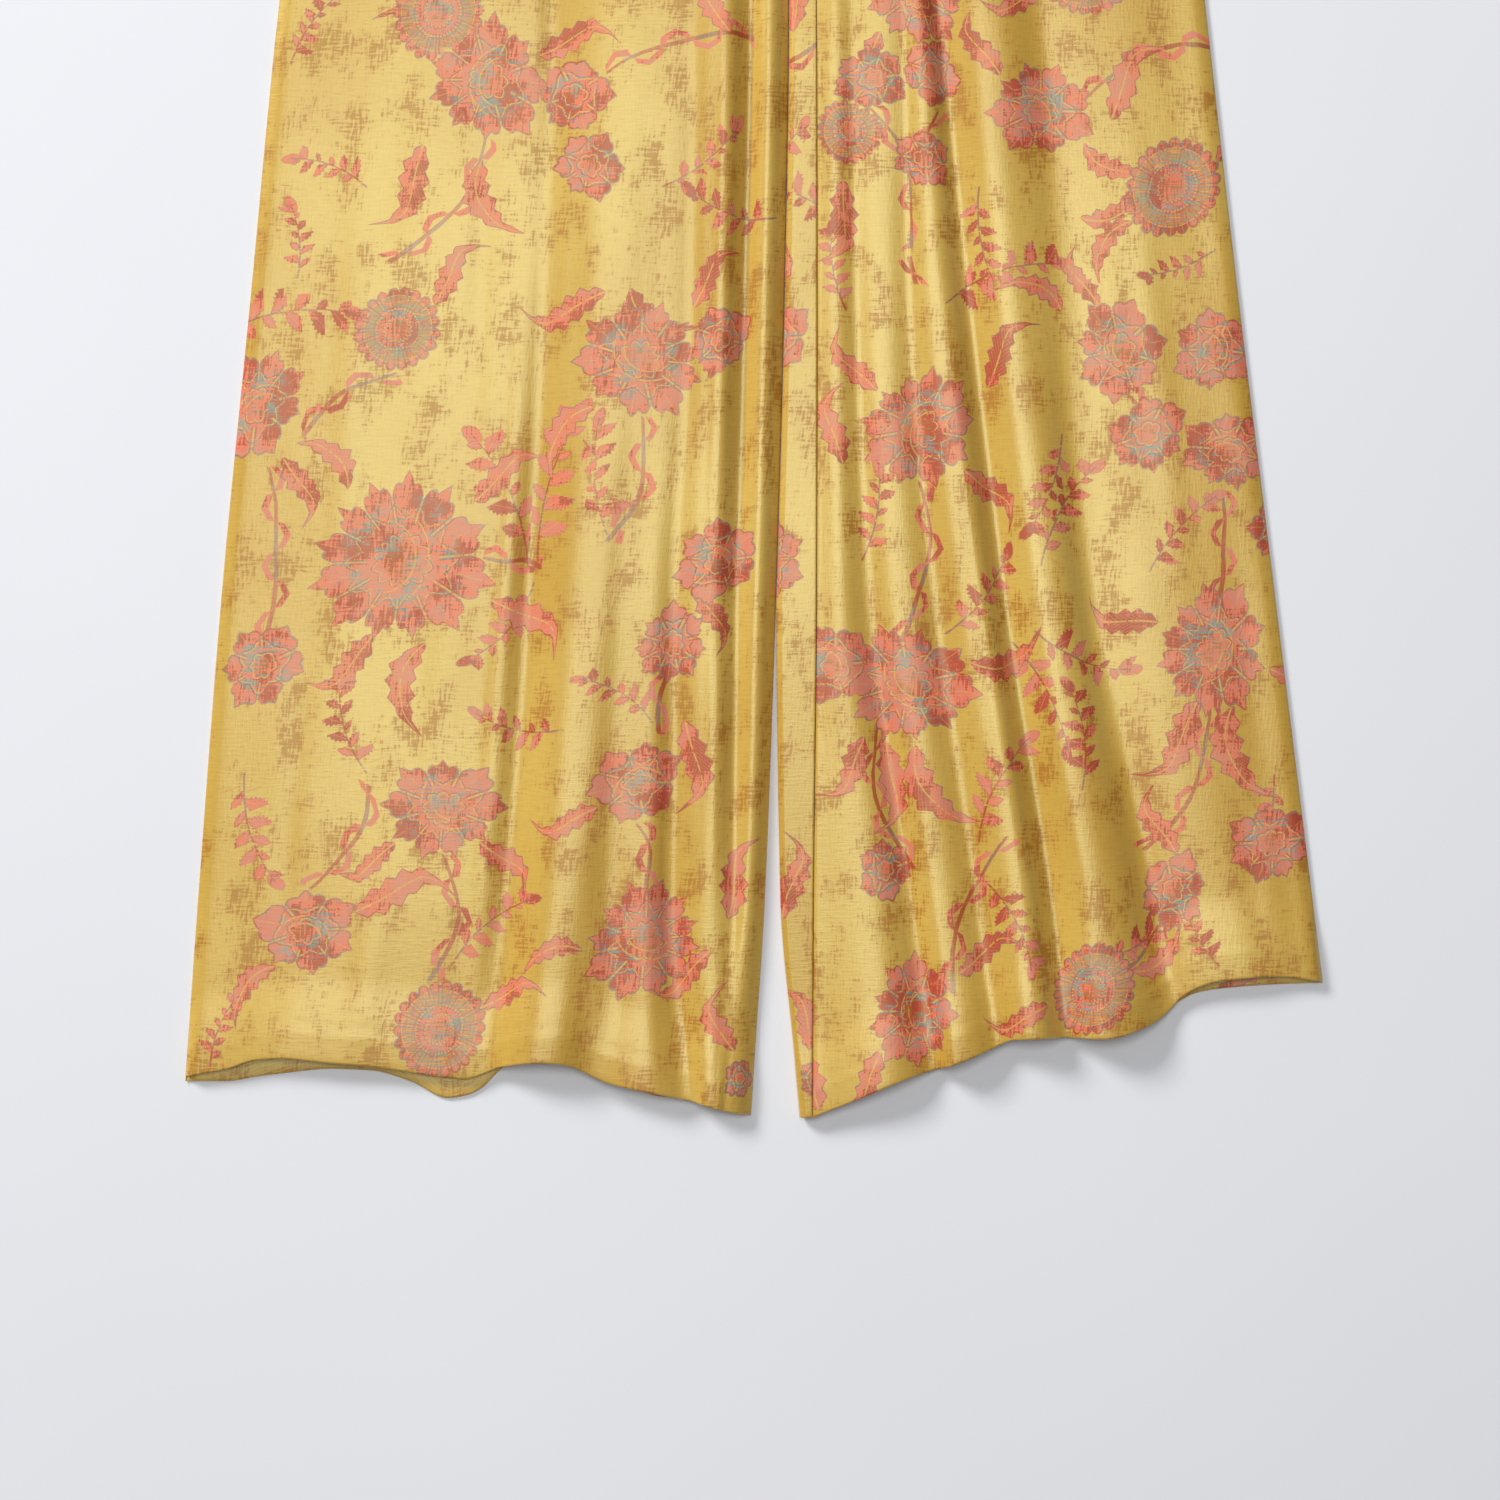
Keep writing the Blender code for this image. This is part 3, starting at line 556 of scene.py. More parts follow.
def left_back_surface(cell):
    """Across, down and height of the left back panel's outer face, and its row at the crotch."""
    across, down, height = [], [], []
    hip = np.linspace(CROTCH - GAP, BAND_DEPTH + GAP, round((CROTCH - BAND_DEPTH) / cell))
    for column in left_back_columns(cell):
        lowest = left_back_lowest(column)
        rise = rows_above_hem(lowest - CROTCH - GAP, round((LENGTH - CROTCH) / cell))
        rows = np.concatenate((lowest - rise, hip))
        x, z = left_back_section(column, rows)
        inwards = 1.0 if column <= 1 else math.cos(math.pi * min(column - 1, 1))
        edge = rolled_in(lowest - rows) + rolled_in(rows - BAND_DEPTH - GAP)
        across.append(x)
        down.append(rows)
        height.append(z + inwards * edge)
    across, down, height = np.array(across), np.array(down), np.array(height)
    height += rolled_in(across[:1] - across) * (np.arange(len(across)) < 8)[:, None]
    end = left_inseam(down[-1]) - GAP
    top = np.array(left_back_columns(cell)) > 2
    height -= FLAT_SEAM * rolled_in(end - across) * top[:, None] * (down > CROTCH)
    return across, down, height, len(rise) - 1


def left_back_turn_up(cell):
    """Across, down and height of the left back's turned-up hem, carried round its rolled edge."""
    rise = np.array(TURN_UP_RISES)
    across, down, height = [], [], []
    for column in left_back_columns(cell)[:0:-1]:
        rows = left_back_lowest(column) - rise
        inset = TURNED_ON - rolled_in(rise) - 0.3 * rolled_in(HEM_DEPTH - rise)
        x, z = left_back_section(column, rows, inset)
        across.append(x - HEM_INSET * column if column < 0.01 else x)
        down.append(rows)
        height.append(z)
    return np.array(across), np.array(down), np.array(height)


def band_ends(down):
    """Across of the waistband's two ends: the side seams, leaning in towards the top edge."""
    lean = BAND_TAPER * (1 - down / BAND_DEPTH)
    right = side_seam(RIGHT_LINES, ACROSS_AT[0]) + lean
    left = side_seam(LEFT_LINES, ACROSS_AT[0]) - lean
    return right, left


def band_rows(cell):
    """A folded band's rows: depth below its top edge, and inset from its outer face."""
    half = BAND / 2
    depths = spaced(BAND_DEPTH - half, cell)[::-1] * (BAND_DEPTH - half) + half
    turn = np.linspace(0, math.pi, 8)[1:-1]
    depth = [*depths, *(half - half * np.sin(turn)), *depths[::-1]]
    inset = [*(0 * depths), *(half - half * np.cos(turn)), *(0 * depths + BAND)]
    return np.array(depth), np.array(inset)


def front_band_surface(cell):
    """Across, down and height of the front waistband: a strip folded at its top edge."""
    depth, inset = band_rows(cell)
    right, left = band_ends(depth)
    share = spaced(BAND_WIDTH, cell)[:, None]
    across = right + (left - right) * share
    middle, half = (left + right) / 2, (left - right) / 2
    down = depth + FRONT_DIP * (1 - ((across - middle) / half) ** 2)
    from_end = half - np.abs(across - middle)
    top = BAND + GAP + BAND + BAND_RISE * ease(from_end / BAND_SHOULDER)
    outer = 1 - inset / BAND
    swell = np.sin(math.pi * depth / BAND_DEPTH)
    plump = 0.35 * swell * outer * ease(from_end / 10)
    seam = rolled_in(BAND_DEPTH - depth) * outer + 0.36 * rolled_in(from_end) * (1 - inset)
    uneven = 0.12 * np.sin(across / 11 + 1.5 * np.sin(across / 27)) * swell
    return across, down, top - inset + plump - seam + uneven * outer


def back_band_surface():
    """Across, down and height of the back waistband, which elastic draws into uneven ribs. Its
    inner face is on top, so its rows run the other way round."""
    depth, inset = band_rows(5.0)
    right, left = band_ends(depth)
    share = np.linspace(0, 1, 10 * GATHERS + 1)[:, None]
    across = right + (left - right) * share
    phase = 2 * math.pi * GATHERS * (share + 0.006 * np.sin(29 * share) + 0.004 * np.sin(61 * share))
    deep = 0.75 + 0.25 * np.sin(17 * share + 0.12 * depth)
    rib = GATHER_RISE * deep * np.cos(phase + 0.35 * np.sin(depth / 9)) * ease((depth + 3) / 6)
    quiet = ease((BAND_DEPTH - depth) / 5) * ease(np.minimum(share, 1 - share) * 60)
    upper = 1 - inset / BAND
    seam = 0.5 * rolled_in(BAND_DEPTH - depth) * upper
    underneath = 0.5 * (GATHER_RISE + rib) * (1 - upper)
    return across, depth + 0 * across, BAND - inset + rib * quiet * upper - seam + underneath * quiet


def path_length(*axes):
    """Distance from the first point of a path, at each of its points."""
    return np.concatenate(([0], np.cumsum(np.hypot(*(np.diff(a) for a in axes)))))


def along(across, height):
    """Distance along the cloth from the first column, on each row."""
    steps = np.hypot(np.diff(across, axis=0), np.diff(height, axis=0))
    return np.concatenate((np.zeros((1, across.shape[1])), np.cumsum(steps, axis=0)))


class Cut:
    """Where the points of a piece lie on its flat cloth, with the print that it carries."""

    def __init__(self, points, layout, t=None, unrolled=False):
        across, down, height = points
        self.s = along(across, height)
        if across[0, 0] > across[-1, 0]:
            self.s = -self.s
        self.laid = across[:1] + self.s if unrolled else across
        self.s = self.s + self.laid[:1].mean()
        self.t = down if t is None else t
        self.down = down
        self.layout = grown(layout)

    def find(self, motif):
        """Where a motif's centre or foot lies on the flat cloth."""
        row = int(np.argmin(np.abs(self.down[len(self.down) // 2] - motif.down)))
        laid, s = self.laid[:, row], self.s[:, row]
        if laid[0] > laid[-1]:
            laid, s = laid[::-1], s[::-1]
        beyond = motif.across - np.clip(motif.across, laid[0], laid[-1])
        return float(np.interp(motif.across, laid, s)) + float(beyond), motif.down

    def size(self):
        """Width, length and area on the flat cloth, in metres."""
        s, t = self.s * MM, self.t * MM
        wide = np.abs(np.diff(s, axis=0))
        tall = np.abs(np.diff(t, axis=1))
        area = float(((wide[:, :-1] + wide[:, 1:]) * (tall[:-1] + tall[1:]) / 4).sum())
        width = float(np.abs(s[-1] - s[0]).max())
        length = float(np.abs(t[:, -1] - t[:, 0]).max())
        return width, length, min(area, width * length)


def mirrored(layout):
    """A print layout turned over, left for right."""
    return {
        layer: [m._replace(across=-m.across, turn=180 - m.turn, form=abs(m.form)) for m in motifs]
        for layer, motifs in layout.items()
    }


def repeated(layout):
    """A print layout with its repeat above it."""
    above = {k: [m._replace(down=m.down - REPEAT) for m in v] for k, v in layout.items()}
    return {k: [m for m in v if m.down < UPPER_END] + list(layout[k]) for k, v in above.items()}


def grown(layout):
    """A print layout with each layer's motifs grown by its factor."""
    return {k: [m._replace(size=m.size * GROWN[k]) for m in v] for k, v in layout.items()}


def mesh_of(name, bm):
    """A mesh made from a bmesh, which is freed."""
    mesh = bpy.data.meshes.new(name)
    bm.to_mesh(mesh)
    bm.free()
    return mesh


def placed(name, data):
    """A new object in the scene."""
    made = bpy.data.objects.new(name, data)
    bpy.context.scene.collection.objects.link(made)
    return made


def set_values(mesh, name, values):
    """Adds a vector attribute on the mesh's face corners."""
    made = mesh.attributes.new(name, "FLOAT_VECTOR", "CORNER")
    made.data.foreach_set("vector", np.ascontiguousarray(values, np.float32).ravel())


def lay_print(mesh, cut, s, t):
    """Gives each face its nearest motif of every layer, as places measured from that motif."""
    uv = mesh.uv_layers.new(name="cloth")
    uv.data.foreach_set("uv", (np.stack((s, t), axis=1) * MM).ravel())
    for layer in LAYERS:
        best = np.full(len(s) // 4, np.inf)
        at, form = np.zeros((len(s), 3)), np.zeros((len(s), 3))
        for k, motif in enumerate(cut.layout[layer]):
            foot_s, foot_t = cut.find(motif)
            turn = math.radians(motif.turn)
            right, up = s - foot_s, foot_t - t
            x = right * math.cos(turn) + up * math.sin(turn)
            y = up * math.cos(turn) - right * math.sin(turn)
            if layer == "flower":
                far = np.hypot(x, y) / motif.size
            else:
                past = np.maximum(np.abs(x - motif.size / 2) - motif.size / 2, 0)
                far = np.hypot(past, y) / (NEAR_LINE * motif.size)
            far = far.reshape(-1, 4).mean(axis=1)
            nearer = far < best
            best = np.where(nearer, far, best)
            corners = np.repeat(nearer, 4)
            at[corners] = np.stack((x, y, np.full_like(x, motif.size)), axis=1)[corners]
            form[corners] = (motif.form, SEED_STEP * k % SEEDS, 0)
        set_values(mesh, f"{layer}_at", at)
        set_values(mesh, f"{layer}_form", form)


def sheet(name, points, cut, wall, left_out=None):
    """A sheet of cloth: a grid bent to its points, with its print and its wall. Faces that
    left_out picks by column and row are taken out."""
    across, down, height = points
    columns, rows = across.shape
    bm = bmesh.new()
    bmesh.ops.create_grid(bm, x_segments=columns - 1, y_segments=rows - 1, size=0.5)
    if left_out:
        gone = []
        for face in bm.faces:
            x, y, _ = face.calc_center_median()
            if left_out((x + 0.5) * (columns - 1), (y + 0.5) * (rows - 1)):
                gone.append(face)
        bmesh.ops.delete(bm, geom=gone, context="FACES")
    mesh = mesh_of(name, bm)
    grid = np.empty(len(mesh.vertices) * 3)
    mesh.vertices.foreach_get("co", grid)
    i, j = np.rint((grid.reshape(-1, 3)[:, :2].T + 0.5) * [[columns - 1], [rows - 1]]).astype(int)
    place = np.stack((across[i, j], LENGTH / 2 - down[i, j], height[i, j]), axis=1) * MM
    mesh.vertices.foreach_set("co", place.ravel())
    corner = np.empty(len(mesh.loops), np.int32)
    mesh.loops.foreach_get("vertex_index", corner)
    lay_print(mesh, cut, cut.s[i, j][corner], cut.t[i, j][corner])
    mesh.update()
    mesh.shade_smooth()
    made = placed(name, mesh)
    solidify = made.modifiers.new("Wall", "SOLIDIFY")
    solidify.thickness = wall * MM
    solidify.offset = -1.0
    return made


class Wire:
    """A number in a shader. Arithmetic on it adds the nodes that work it out."""

    def __init__(self, shader, socket):
        self.shader, self.socket = shader, socket

    def __add__(self, other):
        return self.shader.math("ADD", self, other)

    def __sub__(self, other):
        return self.shader.math("SUBTRACT", self, other)

    def __rsub__(self, other):
        return self.shader.math("SUBTRACT", other, self)

    def __mul__(self, other):
        return self.shader.math("MULTIPLY", self, other)

    def __truediv__(self, other):
        return self.shader.math("DIVIDE", self, other)

    def __pow__(self, other):
        return self.shader.math("POWER", self, other)

    def __abs__(self):
        return self.shader.math("ABSOLUTE", self)

    __radd__ = __add__
    __rmul__ = __mul__


class Shader:
    """A material and the nodes added to it."""

    def __init__(self, name):
        self.material = bpy.data.materials.new(name)
        self.material.use_nodes = True
        self.tree = self.material.node_tree
        self.surface = self.tree.nodes["Principled BSDF"]

    def node(self, kind, settings=None, inputs=None):
        """Adds a node with its settings, then gives its sockets values or links."""
        made = self.tree.nodes.new(kind)
        for key, value in (settings or {}).items():
            setattr(made, key, value)
        for key, value in (inputs or {}).items():
            self.feed(made.inputs[key], value)
        return made

    def feed(self, socket, value):
        """Gives a socket a value, or a link where the value is a wire."""
        if isinstance(value, Wire):
            self.tree.links.new(value.socket, socket)
        else:
            socket.default_value = value

    def math(self, operation, *values):
        made = self.node("ShaderNodeMath", {"operation": operation}, dict(enumerate(values)))
        return Wire(self, made.outputs[0])

    def sine(self, value):
        return self.math("SINE", value)

    def most(self, *values):
        total = values[0]
        for value in values[1:]:
            total = self.math("MAXIMUM", total, value)
        return total

    def step(self, low, high, value):
        """0 at low and 1 at high, with a soft edge between."""
        inputs = {"Value": value, "From Min": low, "From Max": high}
        made = self.node("ShaderNodeMapRange", {"interpolation_type": "SMOOTHSTEP"}, inputs)
        return Wire(self, made.outputs[0])

    def line(self, distance, half_width):
        """1 along a line, from the distance to it in mm."""
        return self.step(half_width + 0.3, half_width - 0.3, abs(distance))

    def split(self, vector):
        """The three numbers of a vector."""
        made = self.node("ShaderNodeSeparateXYZ", None, {0: vector})
        return [Wire(self, out) for out in made.outputs]

    def parts(self, name):
        """The three numbers of an attribute."""
        source = self.node("ShaderNodeAttribute", {"attribute_name": name})
        return self.split(Wire(self, source.outputs["Vector"]))

    def noise(self, scale, detail):
        """Noise on the flat cloth, from 0 to 1. Scale is in turns a metre across and down."""
        cloth = self.node("ShaderNodeUVMap", {"uv_map": "cloth"})
        sized = self.node("ShaderNodeVectorMath", {"operation": "MULTIPLY"})
        self.feed(sized.inputs[0], Wire(self, cloth.outputs[0]))
        sized.inputs[1].default_value = (*scale, 1.0)
        inputs = {"Vector": Wire(self, sized.outputs[0]), "Scale": 1.0, "Detail": detail}
        made = self.node("ShaderNodeTexNoise", {"noise_dimensions": "2D"}, inputs)
        return Wire(self, made.outputs[0])

    def mix(self, share, first, second):
        """A colour between two colours."""
        ends = (end if isinstance(end, Wire) else (*end, 1) for end in (first, second))
        made = self.node("ShaderNodeMix", {"data_type": "RGBA"}, dict(zip((0, 6, 7), (share, *ends))))
        return Wire(self, made.outputs[2])

    def finish(self, relief, strength, distance, **looks):
        """Sets the surface's looks by name, raises its relief, and gives the material."""
        for name, value in looks.items():
            self.feed(self.surface.inputs[name.replace("_", " ")], value)
        inputs = {"Height": relief, "Strength": strength, "Distance": distance}
        raised = self.node("ShaderNodeBump", None, inputs)
        self.feed(self.surface.inputs["Normal"], Wire(self, raised.outputs[0]))
        return self.material


def flowers(sh, fray):
    """Fill, pale lines, dark lines and heart of the flowers. Those with twenty petals or more have
    a ring of spokes round a plain heart, the rest pointed petals in two rounds."""
    x, y, size = sh.parts("flower_at")
    x = x * (1 + 0.1 * sh.step(27, 29, size))
    petals, seed, _ = sh.parts("flower_form")
    turn = sh.math("ARCTAN2", y, x)
    reach = sh.math("SQRT", x * x + y * y) / size
    ringed = sh.step(19.4, 19.6, petals)
    waves = 0.09 * sh.sine(2 * turn + seed) + 0.06 * sh.sine(3 * turn + 2 * seed)
    uneven = 1 + (1 - 0.7 * ringed) * waves
    swing = petals * (turn + 0.16 * (1 - ringed) * sh.sine(turn + 1.7 * seed)) / (2 * math.pi)
    petal = 1 - sh.math("PINGPONG", 2 * swing, 1.0)
    other = 1 - petal
    notches = abs(sh.sine(3 * math.pi * swing + 1.57))
    pointed = 0.68 + 0.19 * petal**0.45 + 0.08 * petal**5 + 0.06 * notches
    rounded = 0.86 + 0.12 * abs(sh.sine(math.pi * swing + 1.57)) ** 0.7
    outer = (reach - (pointed + (rounded - pointed) * ringed) * uneven) * size + fray
    round_two = 0.4 + 0.16 * other**0.5 + 0.06 * other**4 + 0.03 * notches
    third = (reach - (0.22 + 0.1 * petal**0.5) * uneven) * size + 0.6 * fray
    inner = (reach - (round_two + (0.5 - round_two) * ringed) * uneven) * size + 0.6 * fray
    fill = sh.step(0.4, -0.4, outer)
    side = sh.math("MINIMUM", petal, 1.0) * math.pi * reach * size / petals
    gaps = sh.line(side, 0.6) * sh.step(0.4, 0.46, reach)
    vein = sh.line(other * math.pi * reach * size / petals, 0.3) * sh.step(0.62, 0.7, reach) * 0.5
    off = sh.math("SQRT", (x + 0.22 * size) ** 2 + (y - 0.12 * size) ** 2) / size
    large = sh.step(27, 29, size) * (1 - ringed)
    crescents = sh.most(sh.line((off - 0.56) * size, 0.5), sh.line((off - 0.4) * size, 0.45))
    crescents = crescents * sh.step(-0.35, -0.2, x / size) * sh.step(0.7, 0.3, abs(y) / size)
    heart = sh.step(0.26, 0.18, reach + 0.01 * fray)
    spokes = ringed * sh.step(0.5, 0.54, reach) * sh.step(0.8, 0.76, reach)
    rounds = sh.most(sh.line(inner, 0.5), sh.line(third, 0.42))
    pale = sh.most(gaps * (1 - ringed), rounds, crescents * large * sh.step(0.66, 0.6, reach), vein)
    rings = sh.most(sh.line((reach - 0.8) * size, 0.4), spokes * sh.line(side, 0.4))
    pale = sh.most(pale * fill, ringed * rings, 0.75 * spokes)
    beside_gaps = sh.line(side - 1.2, 0.5) * sh.step(0.4, 0.46, reach)
    inner_line = sh.most(sh.line(inner - 1.2, 0.6), sh.line(third - 1.1, 0.5), beside_gaps) * fill
    ink_line = sh.most(sh.line(outer - 0.3, 0.8), 0.9 * inner_line, 0.5 * spokes)
    return fill, pale, ink_line, heart * fill, reach, x / size


def leaves(sh, fray):
    """Fill, pale lines and dark lines of the leaves."""
    x, y, length = sh.parts("leaf_at")
    bend, seed, _ = sh.parts("leaf_form")
    t = x / length
    inside = sh.math("MINIMUM", sh.step(-0.02, 0.03, t), sh.step(1.02, 0.99, t))
    hook = sh.math("SIGN", bend) * 2.4 * length * sh.math("MAXIMUM", t - 0.7, 0.0) ** 2
    side = y - bend * length * t * (1 - t) + 0.05 * length * sh.sine(5.5 * t) + hook
    swell = sh.math("MAXIMUM", sh.sine(math.pi * t), 0.0) ** 0.7
    teeth = sh.math("PINGPONG", 5.5 * t + 0.1 * seed + 0.2 * sh.math("SIGN", side), 0.5) * 2
    outer = abs(side) - length * swell * (0.24 - 0.14 * t) * (0.62 + 0.42 * teeth) + fray
    fill = sh.step(0.4, -0.4, outer) * inside
    veins = sh.line(sh.math("PINGPONG", x - 1.5 * abs(side), 3.5) - 1.7, 0.22) * 0.55
    pale = sh.most(sh.line(side, 0.6 - 0.3 * t), veins * sh.step(0.1, 0.3, t))
    return fill, pale * fill * sh.step(0.97, 0.88, t), sh.line(outer + 0.2, 0.45) * inside


def sprigs(sh, fray):
    """Fill, pale lines and dark lines of the leafy sprigs: pairs of leaflets along a stem."""
    x, y, length = sh.parts("sprig_at")
    bend, seed, _ = sh.parts("sprig_form")
    count = 6
    t = x / length
    side = y - 1.5 * bend * length * t * (1 - t)
    pitch = length / count
    lower = sh.step(0.1, -0.1, side)
    place = t * count + 0.4 * lower
    number = sh.math("FLOOR", place)
    step_x = (place - number) * pitch
    out = abs(side)
    forward = 0.62 * step_x + 0.78 * out
    aside = 0.62 * out - 0.78 * step_x + 0.28 * pitch
    reach = pitch * (1.75 - 0.12 * number + 0.5 * sh.sine(5 * number + 3 * lower + seed))
    swell = sh.math("MAXIMUM", sh.sine(math.pi * (forward / reach) ** 1.3), 0.0)
    leaflet = abs(aside) - (0.2 + 0.03 * sh.sine(2.2 * forward)) * reach * swell + 0.8 * fray
    within = sh.step(-0.01, 0.01, t) * sh.step(1.01, 0.99, t)
    on_leaflet = sh.step(0.4, 1.0, forward) * sh.step(0.6, 0.0, forward - reach)
    grown = sh.step(0.9, 1.1, place) * within * on_leaflet
    bud = sh.math("SQRT", ((x - length) / 1.6) ** 2 + side * side) - 0.2 * pitch - 1.4 + fray
    fill = sh.most(sh.step(0.4, -0.4, leaflet) * grown, sh.step(0.4, -0.4, bud))
    stem = sh.line(side + 0.3 * fray, 0.75 - 0.35 * t) * within
    dark = sh.most(sh.line(leaflet + 0.2, 0.3) * grown * 0.8, stem, sh.line(bud, 0.3) * 0.7)
    return fill, sh.line(aside, 0.22) * grown * fill * 0.5, dark


def stems(sh, fray):
    """The stems, which thicken towards their foot and carry small hooked buds."""
    x, y, length = sh.parts("stem_at")
    bend, seed, _ = sh.parts("stem_form")
    t = x / length
    side = y - 1.8 * bend * length * t * (1 - t) - 1.2 * sh.sine(9 * t + seed) + 0.4 * fray
    within = sh.step(0.0, 0.02, t) * sh.step(1.0, 0.98, t)
    hook = sh.math("PINGPONG", x + 10 * sh.math("SIGN", side) + seed, 19.0)
    plump = sh.math("MAXIMUM", 8.5 - abs(abs(side) - 5.5) * 1.7, 0.0)
    bud = abs(hook - 9 - 1.1 * abs(side)) - 0.5 * plump
    bud = sh.step(0.4, -0.4, bud + fray) * within * sh.step(12, 10, abs(side))
    return sh.line(side, 1.0 + 0.8 * t) * within, bud


def brocade(look):
    """The trousers' cloth: a satin ground with woven flowers, ochre stains and worn red patches."""
    sh = Shader("figured_brocade")
    dashes = sh.noise((660, 105), 2.0)
    picks = sh.noise((90, 720), 2.0)
    mottle = 0.5 * (dashes + picks)
    coarse = sh.noise((44, 27), 3.0)
    cloud = sh.noise((8, 5), 1.0)
    soft = sh.noise((70, 62), 1.0)
    fray = 2.6 * (soft - 0.5) + 3.4 * (mottle - 0.5)
    fill, pale, dark, heart, reach, aside = flowers(sh, fray)
    leaf_fill, leaf_pale, leaf_dark = leaves(sh, fray)
    sprig_fill, sprig_pale, sprig_dark = sprigs(sh, fray)
    stem, bud = stems(sh, fray)
    dark = sh.most(dark, (1 - fill) * sh.most(leaf_dark, sprig_dark * (1 - leaf_fill)))
    stem = stem * (1 - sh.most(fill, leaf_fill, sprig_fill, bud))
    pale = sh.most(pale, (1 - fill) * sh.most(leaf_pale, sprig_pale * (1 - leaf_fill)))
    inked = sh.most(fill, leaf_fill, sprig_fill, bud)

    ground = sh.mix(sh.step(0.3, 0.7, cloud), look.ground, look.ground_shade)
    stain = sh.step(0.53, 0.61, 0.44 * coarse + 0.3 * dashes + 0.26 * picks)
    smudge = sh.step(0.44, 0.68, coarse)
    grain = sh.step(0.38, 0.62, 0.35 * dashes + 0.65 * picks)
    ground = sh.mix(0.16 * smudge + 0.52 * stain + 0.12 * grain, ground, look.ochre)
    patches = sh.noise((40, 36), 1.0)
    worn = sh.step(0.5, 0.56, 0.5 * patches + 0.3 * dashes + 0.2 * picks - 0.02 * aside)
    ink = sh.mix(sh.step(0.47, 0.4, patches) * 0.25, look.petal, look.lilac)
    ink = sh.mix(0.18 * sh.step(0.45, 0.6, picks), ink, look.lilac)
    ink = sh.mix(0.9 * worn, ink, look.worn)
    speck = sh.step(0.54, 0.6, 0.5 * picks + 0.5 * soft) * sh.step(0.85, 0.5, reach)
    ink = sh.mix(0.6 * speck, ink, look.turquoise)
    gold = sh.step(0.5, 0.56, mottle) * heart
    ink = sh.mix(0.6 * gold, ink, look.ochre)
    colour = sh.mix(0.92 * inked, ground, ink)
    colour = sh.mix(0.8 * pale * sh.step(0.36, 0.46, dashes), colour, look.ground)
    outline = sh.mix(sh.step(0.48, 0.58, coarse), look.outline, look.worn)
    outline = sh.mix(0.6 * sh.step(0.5, 0.58, picks) * fill, outline, look.turquoise)
    colour = sh.mix(0.8 * dark * sh.step(0.3, 0.42, picks), colour, outline)
    stalk = sh.mix(sh.step(0.38, 0.5, patches), look.outline, look.worn)
    colour = sh.mix(0.8 * stem, colour, stalk)
    return sh.finish(
        mottle,
        0.6,
        0.00025,
        Base_Color=colour,
        Roughness=0.33 + 0.1 * inked + 0.08 * stain,
        Specular_IOR_Level=1.0,
        Specular_Tint=(0.94, 0.98, 0.62, 1.0),
        Sheen_Weight=0.15,
        Sheen_Roughness=0.4,
    )


def cloth_material(look):
    """The cloth's material, made once."""
    return bpy.data.materials.get("figured_brocade") or brocade(look)


def finish_sheet(made, cut, node, look):
    """Gives a shell its cloth and body, hides the solid part that it stands for, and works out the
    size of its cut, which nothing uses.
    """
    made.data.materials.append(cloth_material(look))
    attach(made, "root")
    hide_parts(node)
    width, length, area = cut.size()


def stitches(name, path, look):
    """A row of short stitches along a path of points, each with the cloth's own slope."""
    bm = bmesh.new()
    for first, second in path:
        direction = (second - first).normalized()
        turned = direction.to_track_quat("Z", "Y").to_matrix().to_4x4()
        turned.translation = (first + second) / 2
        long = (second - first).length / 2
        made = bmesh.ops.create_uvsphere(bm, u_segments=6, v_segments=4, radius=1.0)
        bmesh.ops.scale(bm, vec=(THREAD * MM, THREAD * MM, long), verts=made["verts"])
        bmesh.ops.transform(bm, matrix=turned, verts=made["verts"])
    mesh = mesh_of(name, bm)
    mesh.shade_smooth()
    made = placed(name, mesh)
    made.data.materials.append(thread_material(look))
    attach(made, "root")
    return made


def row_of_stitches(points, row, pitch):
    """Ends of the stitches along a row of a surface, each a little shorter than the pitch."""
    across, down, height = (a[:, row] for a in points)
    total = path_length(across, down)
    starts = np.arange(4.0, total[-1] - 4 - pitch, pitch)
    ends = []
    for start in starts:
        pair = []
        for s in (start, start + 0.72 * pitch):
            x, d, z = (float(np.interp(s, total, a)) for a in (across, down, height))
            pair.append(Vector((x, LENGTH / 2 - d, z + 0.4 * THREAD)) * MM)
        ends.append(pair)
    return ends


def thread_material(look):
    """Sewing thread: two twisted plies."""
    if "sewing_thread" in bpy.data.materials:
        return bpy.data.materials["sewing_thread"]
    sh = Shader("sewing_thread")
    place = sh.node("ShaderNodeTexCoord")
    x, y, _ = sh.split(Wire(sh, place.outputs["Object"]))
    twist = sh.sine(9000 * x + 5000 * y)
    colour = sh.mix(sh.step(-0.6, 0.6, twist), look.ochre, look.ground)
    return sh.finish(twist, 0.3, 0.0001, Base_Color=colour, Roughness=0.5)


def floor_material(colour):
    """A smooth pale surface, very slightly mottled."""
    sh = Shader("pale_surface")
    place = sh.node("ShaderNodeTexCoord")
    inputs = {"Vector": Wire(sh, place.outputs["Object"]), "Scale": 3.0, "Detail": 2.0}
    cloud = Wire(sh, sh.node("ShaderNodeTexNoise", None, inputs).outputs[0])
    darker = tuple(0.96 * c for c in colour)
    sh.feed(sh.surface.inputs["Base Color"], sh.mix(cloud, colour, darker))
    sh.surface.inputs["Roughness"].default_value = 0.6
    sh.surface.inputs["Specular IOR Level"].default_value = 0.3
    return sh.material


def linear(red, green, blue):
    """A colour picked on a screen, 0 to 255, as Blender's own numbers."""
    return tuple(
        (c / 255 + 0.055) ** 2.4 / 1.055**2.4 if c > 10 else c / 3295 for c in (red, green, blue)
    )


